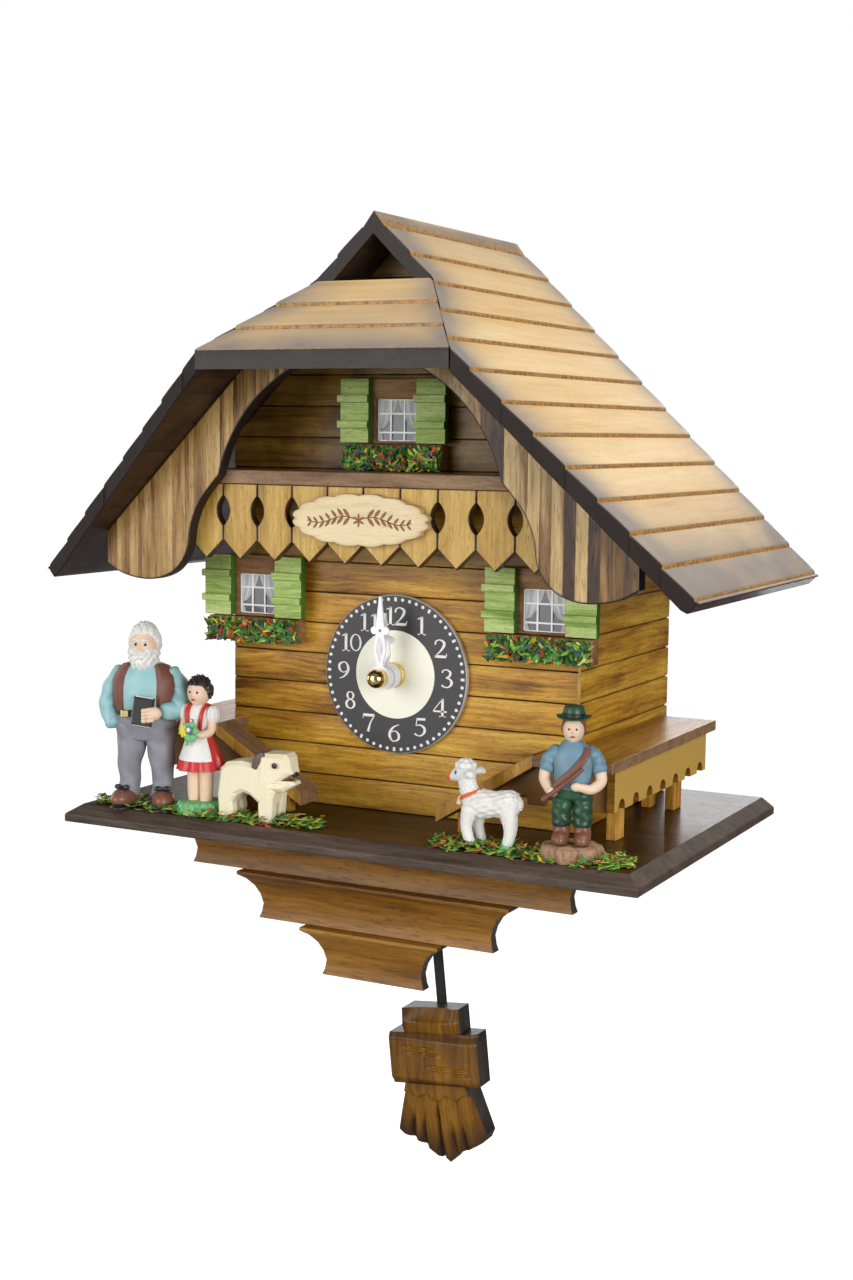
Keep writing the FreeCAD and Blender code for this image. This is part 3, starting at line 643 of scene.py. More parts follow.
def hip_slope():
    """Small front slope: rings across the panel, wider and lower towards the front edge."""
    share = np.array([0.0, 0.02, 0.06, 0.3, 0.7, 0.93, 0.98, 1.0])
    depth = np.array([1.05, 1.0, 0.75, 0.5, 0.2, 0.0, 0.04, 0.3])
    t = np.concatenate([(k + 0.004 + share * 0.996) / 3 for k in range(3)])
    down = np.tile(depth, 3)
    lap = np.tile([1.0, 1.0, 0, 0, 0, 0, 0, 0.7], 3)
    lap[:3] = 0
    down[:3] = (0.3, 0.5, 0.6)
    half = GABLET_HALF + (HIP_HALF - GABLET_HALF) * t - 0.02
    y = GABLET_FRONT + (HIP_FRONT - GABLET_FRONT) * t
    z = HIP_HIGH[2] - (HIP_HALF - GABLET_HALF) * t
    drop = HIP_HALF - GABLET_HALF
    thick = 5.0 / math.cos(math.atan2(drop, GABLET_FRONT - HIP_FRONT))
    u = np.linspace(-1, 1, 30)
    top = np.stack([half[:, None] * u, np.repeat(y[:, None], 30, 1), np.repeat((z - down)[:, None], 30, 1)],
                   -1)
    low = np.stack([half[:, None] * -u, np.repeat(y[:, None], 30, 1), np.repeat((z - thick)[:, None], 30, 1)],
                   -1)
    rings = np.concatenate([top, low], 1)
    near = np.minimum((1 - t)[:, None] * 40, (1 - np.abs(u)) * half[:, None])
    mist = np.clip(0.85 * np.exp(-(near / 9.0)) + 0.30 * (1 - np.exp(-(t[:, None] / 0.2) ** 2)), 0, 1)
    # Laps carry marks above one, for the raw end of the course above and for painted shadow under it; the top
    # elsewhere takes the spray mist, and the underside is marked fully.
    burn = np.where(lap[:, None] > 0.05, 1 + lap[:, None], mist)
    burn = np.concatenate([burn, np.ones_like(burn)], 1)
    tone = np.repeat(np.repeat([0.2, -0.1, 0.1], 8)[:, None], 60, 1)
    slots = [0] * 29 + [1] + [2] * 29 + [1]
    return lofted(rings, burn=burn, tone=tone, uv=rings[..., [0, 1]], column_slots=slots, end_slots=(1, 1))


make("shingled_hip", hip_slope(), [SHINGLES, HIP_EDGE, UNDERSIDE], replaces=("hip_panel",))

# %% [markdown]
# ## Gable trims
# Two boards of striped veneer hang below the eave and leave an arch over the balcony.
# The outline is a circle's arc followed by a smooth curve through the lobe, pushed back to a thin board,
# with the stain fading in towards the edge as a spray gun leaves it.

# %% Gable trims
TRIM_LOW, TRIM_HIGH = corners("gable_trim_right")
ARCH_CENTRE, ARCH_RADIUS, TRIM_TOP, TRIM_END = 51.5, 51.3, 108.0, 94.2


def trim_outline():
    """Half arch, cusp and lobe, then up along the roof's underside and back along the top."""
    turn = np.radians(np.linspace(90, 14.1, 40))
    arch = np.column_stack([ARCH_RADIUS * np.cos(turn), ARCH_CENTRE + ARCH_RADIUS * np.sin(turn)])
    lobe = smooth([(49.8, 64.0), (57.0, 55.5), (60.4, 47.9), (62.0, 39.5), (66.5, 33.0), (73.5, 29.8),
                   (81.0, 29.4),
                   (88.5, 31.0), (94.2, 34.0)], 60)[1:]
    ends = np.array([(TRIM_END, ROOF_UNDER - TRIM_END - 0.05), (ROOF_UNDER - TRIM_TOP - 0.05, TRIM_TOP),
                     (0, TRIM_TOP)])
    return np.concatenate([arch, lobe, ends])


for side_name, sign in (("right", 1), ("left", -1)):
    outline = trim_outline() * (sign, 1)
    board = plate(outline, TRIM_LOW[1], TRIM_HIGH[1], ease=0.3, fade=0.5, axes="xzy", grain="v")
    make("striped_trim_" + side_name, board, [STRIPED if sign > 0 else REEDED, WALNUT_DARK],
         replaces=("gable_trim_" + side_name,))

# %% [markdown]
# ## Planked walls
# The walls are thin boards with a groove cut every ten millimetres, so they read as stacked planks.
# A board is a grid whose rows crowd together at each groove, where the surface dips.

# %% Walls
PLANK = 10.2


def plank_rows(low, high, seed):
    """Heights of the rows, the groove's depth at each, and each plank's tone."""
    rng = np.random.default_rng(seed)
    share = np.array([0.0, 0.012, 0.030, 0.10, 0.5, 0.90, 0.970, 0.988])
    depth = np.array([0.60, 0.50, 0.06, 0.01, 0.0, 0.01, 0.06, 0.50])
    count = int(math.ceil((high - low) / PLANK))
    tones = rng.uniform(-0.45, 0.45, count)
    z = (low + (np.arange(count)[:, None] + share) * PLANK).reshape(-1)
    cut = np.tile(depth, count)
    tone = np.repeat(tones, 8)
    return z, cut, tone


def trimmed_rows(rows, low, high, extra):
    """Rows inside low..high, with a few extra heights added in place."""
    z, cut, tone = rows
    heights = np.unique(np.round(np.concatenate([z[(z > low) & (z < high)], extra, [low, high]]), 4))
    nearest = np.clip(np.searchsorted(z, heights + 1e-3) - 1, 0, len(z) - 1)
    return heights, np.interp(heights, z, cut), tone[nearest]


def front_board():
    """Gable-shaped board: rows up the wall, columns across it, a square opening hidden behind the dial."""
    rows = plank_rows(GROUND, WALL_TOP, 5)
    shoulder = ROOF_UNDER - HOUSE_HALF
    z, cut, tone = trimmed_rows(rows, GROUND, WALL_TOP - 0.15, [shoulder, -4.2, 4.2])
    half = np.minimum(HOUSE_HALF, ROOF_UNDER - z)
    u = np.sort(np.concatenate([np.linspace(-1, 1, 31), [-4.2 / HOUSE_HALF, 4.2 / HOUSE_HALF]]))
    x = half[:, None] * u
    height = np.repeat(z[:, None], len(u), 1)
    wear = 0.10 * np.sin(x * 0.21 + z[:, None] * 1.7) * np.sin(z[:, None] * 0.9)
    front = np.stack([x, np.maximum(cut[:, None] * (1 + wear), 0.0), height], -1)
    back = np.stack([x, np.full_like(x, WALL_HIGH[1]), height], -1)
    middle_x, middle_z = (x[:-1, :-1] + x[1:, 1:]) / 2, (z[:-1] + z[1:])[:, None] / 2
    keep = ~((np.abs(middle_x) < 4.1) & (np.abs(middle_z) < 4.1))
    # Painted shade: a band under the balcony pickets and the whole recess under the roof above z 52. Grooves
    # are darker, so is a band along the outline, and the wall darkens towards the platform.
    painted_wall_shade = 0.5 * np.exp(-(((z - 40.0) / 9.0) ** 2)) + 0.75 * (z > 52)
    shade = np.clip(cut / 0.5, 0, 1)[:, None] + 0.30 * np.exp(-(half[:, None] - np.abs(x)) / 4.0)
    shade = np.maximum(shade, painted_wall_shade[:, None] + 0.25 * np.exp(-(z - GROUND) / 6.0)[:, None])
    return slab(front, back, keep, burn=shade, tone=np.repeat(tone[:, None], len(u), 1),
                uv=np.stack([x + 37.0 * tone[:, None], height], -1))


make("planked_front", front_board(), [HONEY, END_GRAIN], replaces=("front_wall",))


def side_board(sign):
    """Side wall: its back end follows the planks in shallow scallops."""
    low, high = corners("side_wall_right")
    z, cut, tone = trimmed_rows(plank_rows(GROUND, high[2], 11 + sign), GROUND, ROOF_UNDER - HOUSE_HALF, [])
    u = np.linspace(0, 1, 16)
    end = high[1] - 0.9 * (cut / 0.60)
    y = low[1] + u * (end - low[1])[:, None]
    height = np.repeat(z[:, None], len(u), 1)
    rise = 1 + (high[2] - ROOF_UNDER + HOUSE_HALF) / (ROOF_UNDER - HOUSE_HALF - GROUND)
    outer = np.stack([sign * (high[0] - cut[:, None] + 0 * y), y, height], -1)
    inner = np.stack([sign * (low[0] + 0 * y), y, GROUND + (height - GROUND) * rise], -1)
    shade = 0.8 * np.clip(cut / 0.5, 0, 1)[:, None] + 0.3 * np.exp(-(high[1] - y) / 4.0)
    return slab(outer, inner, burn=shade, tone=np.repeat(tone[:, None], len(u), 1),
                uv=np.stack([y + 29.0 * tone[:, None], height], -1), slots=(0, 0, 0))


for side_name, sign in (("right", 1), ("left", -1)):
    make("planked_side_" + side_name, side_board(sign), [HONEY, END_GRAIN],
         replaces=("side_wall_" + side_name,))

eased("back_board", [HONEY_Z], 0.4)
eased("corner_blocks", [HONEY_Y], 0.4)

# %% [markdown]
# ## Platform, cornices and porches
# These boards are already right in the CAD, so their merged copies only get rounded arrises and stain.
# The spray left end faces and bevels almost black, so the faces choose their stain by the way they look.

# %% Platform and cornices


def by_top(normals):
    """Upper faces take the first stain, every other face the second."""
    return np.where(normals[:, 2] > 0.9, 0, 1)


def by_front(normals):
    """Faces that look along X are sprayed dark."""
    return np.where(np.abs(normals[:, 0]) > 0.45, 1, 0)


eased("platform_board", [WALNUT, WALNUT_EDGE], 0.4, choose=by_top)
for tier in ("cornice_upper", "cornice_middle", "cornice_lower"):
    eased(tier, [CORNICE, GREY_END], 0.3, choose=by_front)

# %% Balcony shelf and pickets
eased("balcony_shelf", [SHELF], 0.4)
PICKET_LOW, PICKET_HIGH = corners("balcony_pickets")


def picket(index, count=10):
    """Board between two seams: its sides are straight except for the half almond, and its foot is a point."""
    pitch = (PICKET_HIGH[0] - PICKET_LOW[0]) / count
    left = PICKET_LOW[0] + index * pitch
    middle, half = left + pitch / 2, pitch / 2 - 0.10
    hole_z, hole_half, hole_tall, notch, tip = 52.5, 2.3, 4.8, 43.0, PICKET_LOW[2]
    turn = np.linspace(-1, 1, 15)
    bite = hole_half * (1 - turn**2)
    right_bite = bite if index < count - 1 else bite * 0
    left_bite = bite if index > 0 else bite * 0
    right = np.column_stack([middle + half - right_bite, hole_z + turn * hole_tall])
    left_side = np.column_stack([middle - half + left_bite, hole_z + turn * hole_tall])[::-1]
    return np.concatenate([[(middle, tip), (middle + half, notch)], right, [(middle + half, PICKET_HIGH[2])],
                           [(middle - half, PICKET_HIGH[2])], left_side, [(middle - half, notch)]])


rng = np.random.default_rng(21)
boards = []
for index in range(10):
    board = plate(picket(index), PICKET_LOW[1], PICKET_HIGH[1], ease=0.2, fade=0.25)
    board["tone"] = np.full((len(board["points"]), 1), rng.uniform(-0.5, 0.5))
    board["uv"] = board["uv"] + rng.uniform(-40, 40, 2)
    boards.append(board)
make("carved_pickets", boards, [PICKET, CORNICE], replaces=("balcony_pickets",))

# %% Porches


for side_name in ("right", "left"):
    eased("porch_deck_" + side_name, [HONEY_Y, SHELF], 0.3,
          choose=lambda n: np.where(n[:, 2] > 0.9, 0, 1))
    eased("porch_apron_" + side_name, [PICKET, CORNICE], 0.25,
          choose=lambda n: np.where(np.abs(n[:, 0]) > 0.9, 0, 1))
    eased("porch_skirt_" + side_name, [STRIPED, CORNICE], 0.25,
          choose=lambda n: np.where(np.abs(n[:, 1]) > 0.9, 0, 1))
    eased("stair_rail_" + side_name, [HONEY_Z, SHELF], 0.3,
          choose=lambda n: np.where(np.abs(n[:, 1]) > 0.9, 0, 1))
    eased("porch_posts_" + side_name, [HONEY_Z], 0.3)

# %% [markdown]
# ## Paints, metal and plastic
# The shutters, hands and figures are brush-painted: the colour pools a little and is never even.
# One recipe mixes a colour with its own shadow colour by noise, and by the darkening mark that paints shade
# into folds and hollows.

# %% Paint recipes


def paint(name, base, shadow, rough=0.5, coat=0.0, scale=260.0, spread=0.35, relief=0.04, metal=0.0):
    """Brushed paint: base colour, darker in patches by noise and with painted shade in folds and hollows,
    with a faint brush relief.
    """
    material, tree, shader = fresh_material(name)
    where = add(tree, "TexCoord").outputs["Object"]
    cloud = add(tree, "TexNoise",
                {"Vector": where, "Scale": scale, "Detail": 4.0, "Roughness": 0.6}).outputs["Fac"]
    fine = add(tree, "TexNoise", {"Vector": where, "Scale": scale * 6.0, "Detail": 2.0}).outputs["Fac"]
    pooled_and_shaded = sums(tree, "MULTIPLY", sums(tree, "SUBTRACT", cloud, 0.42), spread * 3.0)
    # Painted shade: the darkening mark from folds and hollows adds to the patches.
    pooled_and_shaded = sums(tree, "ADD", pooled_and_shaded, sums(tree, "MULTIPLY", painted(tree, "burn"), 0.75), clamp=True)
    shade = mix(tree, pooled_and_shaded, colour(*base), colour(*shadow))
    tree.links.new(shade, shader.inputs["Base Color"])
    gloss = sums(tree, "ADD", rough - 0.06, sums(tree, "MULTIPLY", fine, 0.12), clamp=True)
    tree.links.new(gloss, shader.inputs["Roughness"])
    shader.inputs["Metallic"].default_value = metal
    shader.inputs["Coat Weight"].default_value = coat
    height = sums(tree, "ADD", cloud, sums(tree, "MULTIPLY", fine, 0.35))
    bump = add(tree, "Bump", {"Height": height, "Strength": 0.5, "Distance": relief * MM})
    tree.links.new(bump.outputs[0], shader.inputs["Normal"])
    return material


def dress(node, material):
    """Give a CAD node that is already the right shape its finish."""
    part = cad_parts[node]
    if not part.material_slots:
        part.data.materials.append(material)
    for place in part.material_slots:
        place.material = material


LEAF_GREEN = wood("shutter_front", (0.17, 0.27, 0.045), (0.42, 0.55, 0.16), (0.66, 0.76, 0.34), along="X",
                  fineness=1.6,
                  coat=0.0, rough=0.6, contrast=1.2, relief=0.12)
SIDE_GREEN = wood("shutter_side", (0.015, 0.06, 0.006), (0.045, 0.15, 0.014), (0.11, 0.26, 0.03), along="Z",
                  fineness=1.5,
                  coat=0.0, rough=0.6)
FRAME_WOOD = wood("frame_wood", (0.10, 0.042, 0.012), (0.26, 0.125, 0.045), (0.46, 0.27, 0.12), along="X",
                  fineness=1.6,
                  coat=0.0, rough=0.55)
WHITE_PAINT = paint("white_paint", (0.86, 0.86, 0.88), (0.60, 0.60, 0.66), rough=0.3, coat=0.3, spread=0.15)
HAND_PAINT = paint("hand_paint", (0.84, 0.82, 0.87), (0.66, 0.63, 0.72), rough=0.25, coat=0.6, spread=0.12,
                   relief=0.02)
CARD_GREY = paint("pane_card", (0.055, 0.055, 0.065), (0.018, 0.018, 0.024), rough=0.3, coat=0.4, scale=180.0,
                  spread=0.6)
CURTAIN = paint("curtain_cloth", (0.72, 0.73, 0.72), (0.45, 0.46, 0.46), rough=0.7, scale=900.0, relief=0.03)
DIAL_BLACK = paint("dial_black", (0.030, 0.029, 0.033), (0.018, 0.018, 0.020), rough=0.42, scale=500.0,
                   relief=0.01)
DIAL_CREAM = paint("dial_cream", (0.97, 0.96, 0.80), (0.94, 0.92, 0.73), rough=0.45, spread=0.12, relief=0.01)
INK = paint("dial_ink", (0.88, 0.87, 0.82), (0.74, 0.73, 0.68), rough=0.5, spread=0.1, relief=0.01)
DIAL_RIM = paint("dial_rim", (0.50, 0.48, 0.45), (0.30, 0.29, 0.28), rough=0.5)
BRASS = paint("brass", (0.86, 0.70, 0.30), (0.62, 0.46, 0.14), rough=0.14, metal=1.0, scale=400.0,
              relief=0.01)
BLACK_PLASTIC = paint("black_plastic", (0.022, 0.022, 0.024), (0.012, 0.012, 0.013), rough=0.48, scale=2200.0,
                      relief=0.05)
GREY_PLASTIC = paint("white_plastic", (0.66, 0.66, 0.62), (0.52, 0.52, 0.48), rough=0.45, scale=1500.0,
                     relief=0.03)
BLACK_STEEL = paint("black_steel", (0.020, 0.019, 0.019), (0.045, 0.036, 0.030), rough=0.38, metal=0.6,
                    scale=700.0)

for node in ("movement_housing", "movement_lid", "setting_knob"):
    eased(node, [BLACK_PLASTIC], 0.25,
          body="setting_train" if node == "setting_knob" else "clock_case")
for node in ("hour_wheel", "motion_wheel"):
    dress(node, GREY_PLASTIC)
for node in ("threaded_bush", "cap_nut", "minute_arbor"):
    dress(node, BRASS)
for node in ("hour_hand", "minute_hand"):
    dress(node, HAND_PAINT)
for node in ("pendulum_arm", "pendulum_rod"):
    dress(node, BLACK_STEEL)
dress("window_panes", CARD_GREY)


def cell_material():
    """Printed sleeve of a battery by place along X: copper-coloured band, black body, bare metal ends."""
    material, tree, shader = fresh_material("battery_sleeve")
    where = add(tree, "TexCoord").outputs["Object"]
    along = add(tree, "SeparateXYZ", {"Vector": where}).outputs["X"]
    place = add(tree, "MapRange", {"Value": along, "From Min": -0.025, "From Max": 0.0254}).outputs[0]
    metal, black, copper = colour(0.62, 0.62, 0.60), colour(0.018, 0.018, 0.020), colour(0.55, 0.24, 0.09)
    shade = ramp(tree, place, [(0.0, metal), (0.03, black), (0.66, copper), (0.955, metal)])
    bands = shade.node
    bands.color_ramp.interpolation = "CONSTANT"
    scuff = add(tree, "TexNoise", {"Vector": where, "Scale": 500.0, "Detail": 4.0}).outputs["Fac"]
    shade = mix(tree, sums(tree, "MULTIPLY", scuff, 0.2), shade, colour(0.3, 0.3, 0.3))
    tree.links.new(shade, shader.inputs["Base Color"])
    tree.links.new(sums(tree, "ADD", 0.2, sums(tree, "MULTIPLY", scuff, 0.2)), shader.inputs["Roughness"])
    shader.inputs["Metallic"].default_value = 0.55
    return material


eased("battery", [cell_material()], 0.4, body="battery")

# %% [markdown]
# ## Dial
# A black card with a pale middle, white numerals and a ring of minute marks.
# Each numeral is drawn with a broad pen: a few strokes whose width swells and thins, as serif figures do.

# %% Dial card


def circle(x, z, radius, count=96, tall=None):
    """Closed outline of a circle, or of an oval when tall gives the other half-size."""
    turn = np.linspace(0, 2 * np.pi, count, endpoint=False)
    return np.column_stack([x + radius * np.cos(turn), z + (tall or radius) * np.sin(turn)])


CREAM_SHARE, HOUR_RING, MINUTE_RING = 0.556, 0.735, 0.945
DIAL_LOW, DIAL_HIGH = corners("dial")
DIAL_RADIUS, DIAL_FACE = DIAL_HIGH[0], DIAL_LOW[1]
card = plate(circle(0, 0, DIAL_RADIUS, 144), DIAL_FACE + 0.12, DIAL_HIGH[1], ease=0.3, slots=(0, 1))
make("dial_card", card, [DIAL_BLACK, DIAL_RIM], replaces=("dial",))
make("dial_middle", plate(circle(0, 0, CREAM_SHARE * DIAL_RADIUS), DIAL_FACE + 0.06, DIAL_FACE + 0.5,
                          ease=0.03),
     [DIAL_CREAM, DIAL_CREAM])

# %% Nut behind the hands


def knurled_nut():
    """Round brass nut: a short lathe profile round the Y axis, its rim cut by twenty-four shallow flutes."""
    low, high = corners("hex_nut")
    turn = np.linspace(0, 2 * np.pi, 192, endpoint=False)
    radius = np.array([3.2, 3.7, 4.1, 4.2, 4.2, 4.1, 3.7, 3.2])[:, None]
    depth = np.interp([0, 0, 0.12, 0.25, 0.75, 0.88, 1, 1], [0, 1], [low[1], high[1]])[:, None]
    flute = 1 - 0.035 * np.clip(np.cos(24 * turn), 0, 1) * (radius > 3.9)
    return lofted(np.stack([radius * flute * np.cos(turn), depth + 0 * turn, radius * flute * np.sin(turn)],
                           -1))


make("knurled_nut", [knurled_nut()], [BRASS], replaces=("hex_nut",))

# %% Numerals
PEN = {
    "0": [("o", (0.48, 0.5, 0.30, 0.45), (0.05, 0.12))],
    "1": [("-", [(0.5, 0.0, .16), (0.5, 0.5, .16), (0.5, 0.98, .15)]),
          ("-", [(0.5, 0.97, .10), (0.36, 0.88, .07), (0.24, 0.84, .03)]),
          ("-", [(0.26, 0.02, .045), (0.5, 0.03, .06), (0.74, 0.02, .045)])],
    "2": [("~", [(0.16, 0.70, .10), (0.20, 0.87, .08), (0.42, 0.97, .06), (0.68, 0.84, .14),
                 (0.66, 0.62, .15),
                 (0.44, 0.33, .08), (0.14, 0.06, .05)]),
          ("-", [(0.12, 0.07, .12), (0.45, 0.07, .15), (0.80, 0.07, .13)]),
          ("-", [(0.80, 0.05, .07), (0.86, 0.26, .03)])],
    "3": [("~", [(0.16, 0.80, .09), (0.24, 0.93, .06), (0.45, 0.97, .06), (0.65, 0.85, .13),
                 (0.60, 0.64, .11), (0.36, 0.54, .04)]),
          ("~", [(0.36, 0.54, .04), (0.64, 0.47, .10), (0.74, 0.26, .15), (0.58, 0.06, .08),
                 (0.34, 0.03, .06), (0.14, 0.12, .11)])],
    "4": [("-", [(0.64, 0.98, .05), (0.08, 0.30, .05)]), ("-", [(0.08, 0.29, .09), (0.90, 0.29, .09)]),
          ("-", [(0.64, 0.0, .16), (0.64, 0.99, .15)]), ("-", [(0.44, 0.02, .045), (0.84, 0.02, .045)])],
    "5": [("-", [(0.26, 0.93, .13), (0.78, 0.95, .13)]), ("-", [(0.27, 0.95, .05), (0.22, 0.56, .05)]),
          ("~", [(0.22, 0.56, .04), (0.44, 0.62, .07), (0.70, 0.50, .13), (0.74, 0.27, .15),
                 (0.56, 0.06, .08),
                 (0.34, 0.03, .06), (0.14, 0.12, .11)])],
    "6": [("~", [(0.76, 0.95, .03), (0.46, 0.82, .09), (0.24, 0.56, .15), (0.20, 0.30, .16),
                 (0.34, 0.06, .08), (0.52, 0.03, .06),
                 (0.74, 0.16, .13), (0.76, 0.38, .14), (0.62, 0.56, .07), (0.44, 0.58, .05),
                 (0.26, 0.46, .05)])],
    "7": [("-", [(0.14, 0.91, .15), (0.84, 0.91, .15)]), ("-", [(0.15, 0.96, .06), (0.11, 0.72, .03)]),
          ("~", [(0.84, 0.90, .05), (0.60, 0.52, .08), (0.44, 0.0, .15)])],
    "8": [("o", (0.48, 0.745, 0.19, 0.20), (0.05, 0.12)), ("o", (0.48, 0.27, 0.25, 0.24), (0.05, 0.14))],
}

# %% Pen strokes


def stroke(points, y0, y1, curved=True):
    """Ribbon with a changing width: the middle line moved half a width to each side along its normal."""
    line = smooth(points, 26) if curved else smooth(points, 8)
    along = np.gradient(line[:, :2], axis=0)
    along /= np.maximum(np.linalg.norm(along, axis=1, keepdims=True), 1e-9)
    across = np.column_stack([-along[:, 1], along[:, 0]]) * line[:, 2:] / 2
    flat = np.stack([line[:, :2] - across, line[:, :2] + across])
    front = np.stack([flat[..., 0], np.full(flat.shape[:2], y0), flat[..., 1]], -1)
    back = front + (0, y1 - y0, 0)
    return slab(front, back, slots=(0, 0, 0))


def ring_stroke(x, z, wide, tall, thin, thick, y0, y1):
    """Closed oval stroke, thin at top and bottom and thick at the sides."""
    turn = np.linspace(0, 2 * np.pi, 40, endpoint=False)
    half = (thin + (thick - thin) * np.abs(np.cos(turn)) ** 1.5) / 2
    spokes = np.stack([np.cos(turn), np.sin(turn)], -1)
    flat = np.stack([(x, z) + spokes * np.column_stack([wide + s * half, tall + s * half]) for s in (-1, 1)])
    front = np.stack([flat[..., 0], np.full(flat.shape[:2], y0), flat[..., 1]], -1)
    return slab(front, front + (0, y1 - y0, 0), wrap=True, slots=(0, 0, 0))


def figure_strokes(text, x, z, height, y0, y1):
    """Numerals centred on a point; the nine is the six turned half round."""
    shells = []
    pitch = 0.74 * height
    for place, letter in enumerate(text):
        shift = (place - (len(text) - 1) / 2) * pitch * (0.86 if "1" in text else 1.0)
        flip = letter == "9"
        for kind, data, *rest in PEN["6" if flip else letter]:
            if kind == "o":
                cx, cz, wide, tall = data
                shells.append(ring_stroke(x + shift + (cx - 0.48) * height, z + (cz - 0.5) * height,
                                          wide * height,
                                          tall * height, rest[0][0] * height, rest[0][1] * height, y0, y1))
                continue
            line = (np.array(data) - (0.48, 0.5, 0.0)) * height
            if flip:
                line[:, :2] *= -1
            line[:, 0] += x + shift
            line[:, 1] += z
            shells.append(stroke(line, y0, y1, curved=kind == "~"))
    return shells


INK_FRONT, INK_BACK = DIAL_FACE, DIAL_FACE + 0.3
print_shells = []
for hour in range(1, 13):
    turn = math.radians(90 - 30 * hour)
    place = HOUR_RING * DIAL_RADIUS
    print_shells += figure_strokes(str(hour), place * math.cos(turn), place * math.sin(turn), 6.0, INK_FRONT,
                                   INK_BACK)
for minute in range(60):
    turn = math.radians(6 * minute)
    place = MINUTE_RING * DIAL_RADIUS
    x, z = place * math.cos(turn), place * math.sin(turn)
    if minute % 5:
        print_shells.append(plate(circle(x, z, 0.56, 12), INK_FRONT, INK_BACK, ease=0.02))
    else:
        out = np.array([math.cos(turn), math.sin(turn)]) * 0.65
        bar = [(x - out[0], z - out[1], 0.85), (x, z, 0.85), (x + out[0], z + out[1], 0.85)]
        print_shells.append(stroke(bar, INK_FRONT, INK_BACK, curved=False))
make("dial_figures", print_shells, [INK, INK])

# %% [markdown]
# ## Windows
# Each window is a card with white glazing bars and drawn-back curtains, in a frame between two shutters.

# %% Windows


def glazing(x, top):
    """White bars: two upright, two level, and a thin border."""
    left, right, high, low = x - 7.3, x + 7.3, top - 6.4, top - 19.8
    bars = [block(x + dx - 0.32, x + dx + 0.32, -1.95, -1.35, low, high, 0.1) for dx in (-2.43, 2.43)]
    bars += [block(left, right, -1.9, -1.35, high - drop - 0.32, high - drop + 0.32, 0.1)
             for drop in (4.6, 10.6)]
    bars += [block(left, left + 0.5, -1.85, -1.35, low, high, 0.1),
             block(right - 0.5, right, -1.85, -1.35, low, high, 0.1)]
    bars += [block(left, right, -1.85, -1.35, high - 0.4, high, 0.1),
             block(left, right, -1.85, -1.35, low, low + 0.4, 0.1)]
    return bars


def curtain(x, top, sign):
    """Cloth drawn to one side: its inner edge falls from the middle to the side, with soft pleats."""
    t = np.linspace(0, 1, 20)[:, None]
    u = np.linspace(0, 1, 24)[None, :]
    inner = 0.25 + 6.2 * np.clip(t * 1.15, 0, 1) ** 1.5
    inner = np.where(t > 0.72, 6.4 - 1.2 * (t - 0.72) / 0.28, inner)
    across = inner + (7.1 - inner) * u
    height = top - 6.5 - 13.0 * t + 0 * u
    pleat = 0.10 * np.cos(u * 15 + t * 2)
    front = np.stack([x + sign * across, -1.62 + pleat + 0 * t, height], -1)
    # Painted shade: the darkening follows the pleats across the cloth.
    return slab(front, front + (0, 0.12, 0), burn=0.5 + 0.5 * np.cos(u * 15 + t * 2 + np.pi) + 0 * t,
                slots=(0, 0, 0))


WINDOWS = {"upper": (0.0, 95.2), "left": (-52.5, 36.8), "right": (52.5, 36.8)}
for place, (x, top) in WINDOWS.items():
    eased("window_frame_" + place, [FRAME_WOOD], 0.25)
    eased("shutters_" + place, [LEAF_GREEN, SIDE_GREEN], 0.3,
          choose=lambda n: np.where((n[:, 1] < -0.9) | (n[:, 2] > 0.9), 0, 1))
    make("glazing_bars_" + place, glazing(x, top), [WHITE_PAINT, WHITE_PAINT])
    make("curtains_" + place, [curtain(x, top, -1), curtain(x, top, 1)], [CURTAIN])
    rail = block(x - 17.6, x + 17.6, -5.6, -0.02, top - 28.8, top - 20.9, 0.4)
    make("flower_trough_" + place, rail, [FRAME_WOOD, FRAME_WOOD],
         replaces=("flower_box_" + place,))

# %% [markdown]
# ## Flowers and turf
# The makers glue chopped dyed straw into the window boxes and round the feet of the figures.
# One bent straw of ten faces is copied hundreds of times by a single array of turns and shifts.

# %% Straw


def straw_material():
    """Dyed straw: the colour stored on each straw, a little lighter and darker along it."""
    material, tree, shader = fresh_material("dyed_straw")
    tint = add(tree, "Attribute", attribute_name="tint", attribute_type="GEOMETRY").outputs["Color"]
    where = add(tree, "TexCoord").outputs["Object"]
    noise = add(tree, "TexNoise", {"Vector": where, "Scale": 900.0, "Detail": 3.0}).outputs["Fac"]
    dark = mix(tree, 1.0, tint, colour(0.35, 0.35, 0.35), way="MULTIPLY")
    pale = mix(tree, 0.18, tint, colour(0.85, 0.85, 0.45))
    shade = mix(tree, noise, dark, pale)
    shade = mix(tree, 0.45, shade, tint)
    tree.links.new(shade, shader.inputs["Base Color"])
    tree.links.new(sums(tree, "ADD", 0.35, sums(tree, "MULTIPLY", noise, 0.2)), shader.inputs["Roughness"])
    shader.inputs["Specular IOR Level"].default_value = 0.3
    bump = add(tree, "Bump", {"Height": noise, "Strength": 0.4, "Distance": 0.05 * MM})
    tree.links.new(bump.outputs[0], shader.inputs["Normal"])
    return material


STRAW = straw_material()
DYES = np.array([(0.008, 0.10, 0.012), (0.03, 0.24, 0.02), (0.22, 0.42, 0.03), (0.010, 0.05, 0.012),
                 (0.56, 0.60, 0.12),
                 (0.60, 0.012, 0.008), (0.80, 0.50, 0.01), (0.82, 0.20, 0.01), (0.010, 0.06, 0.15)])


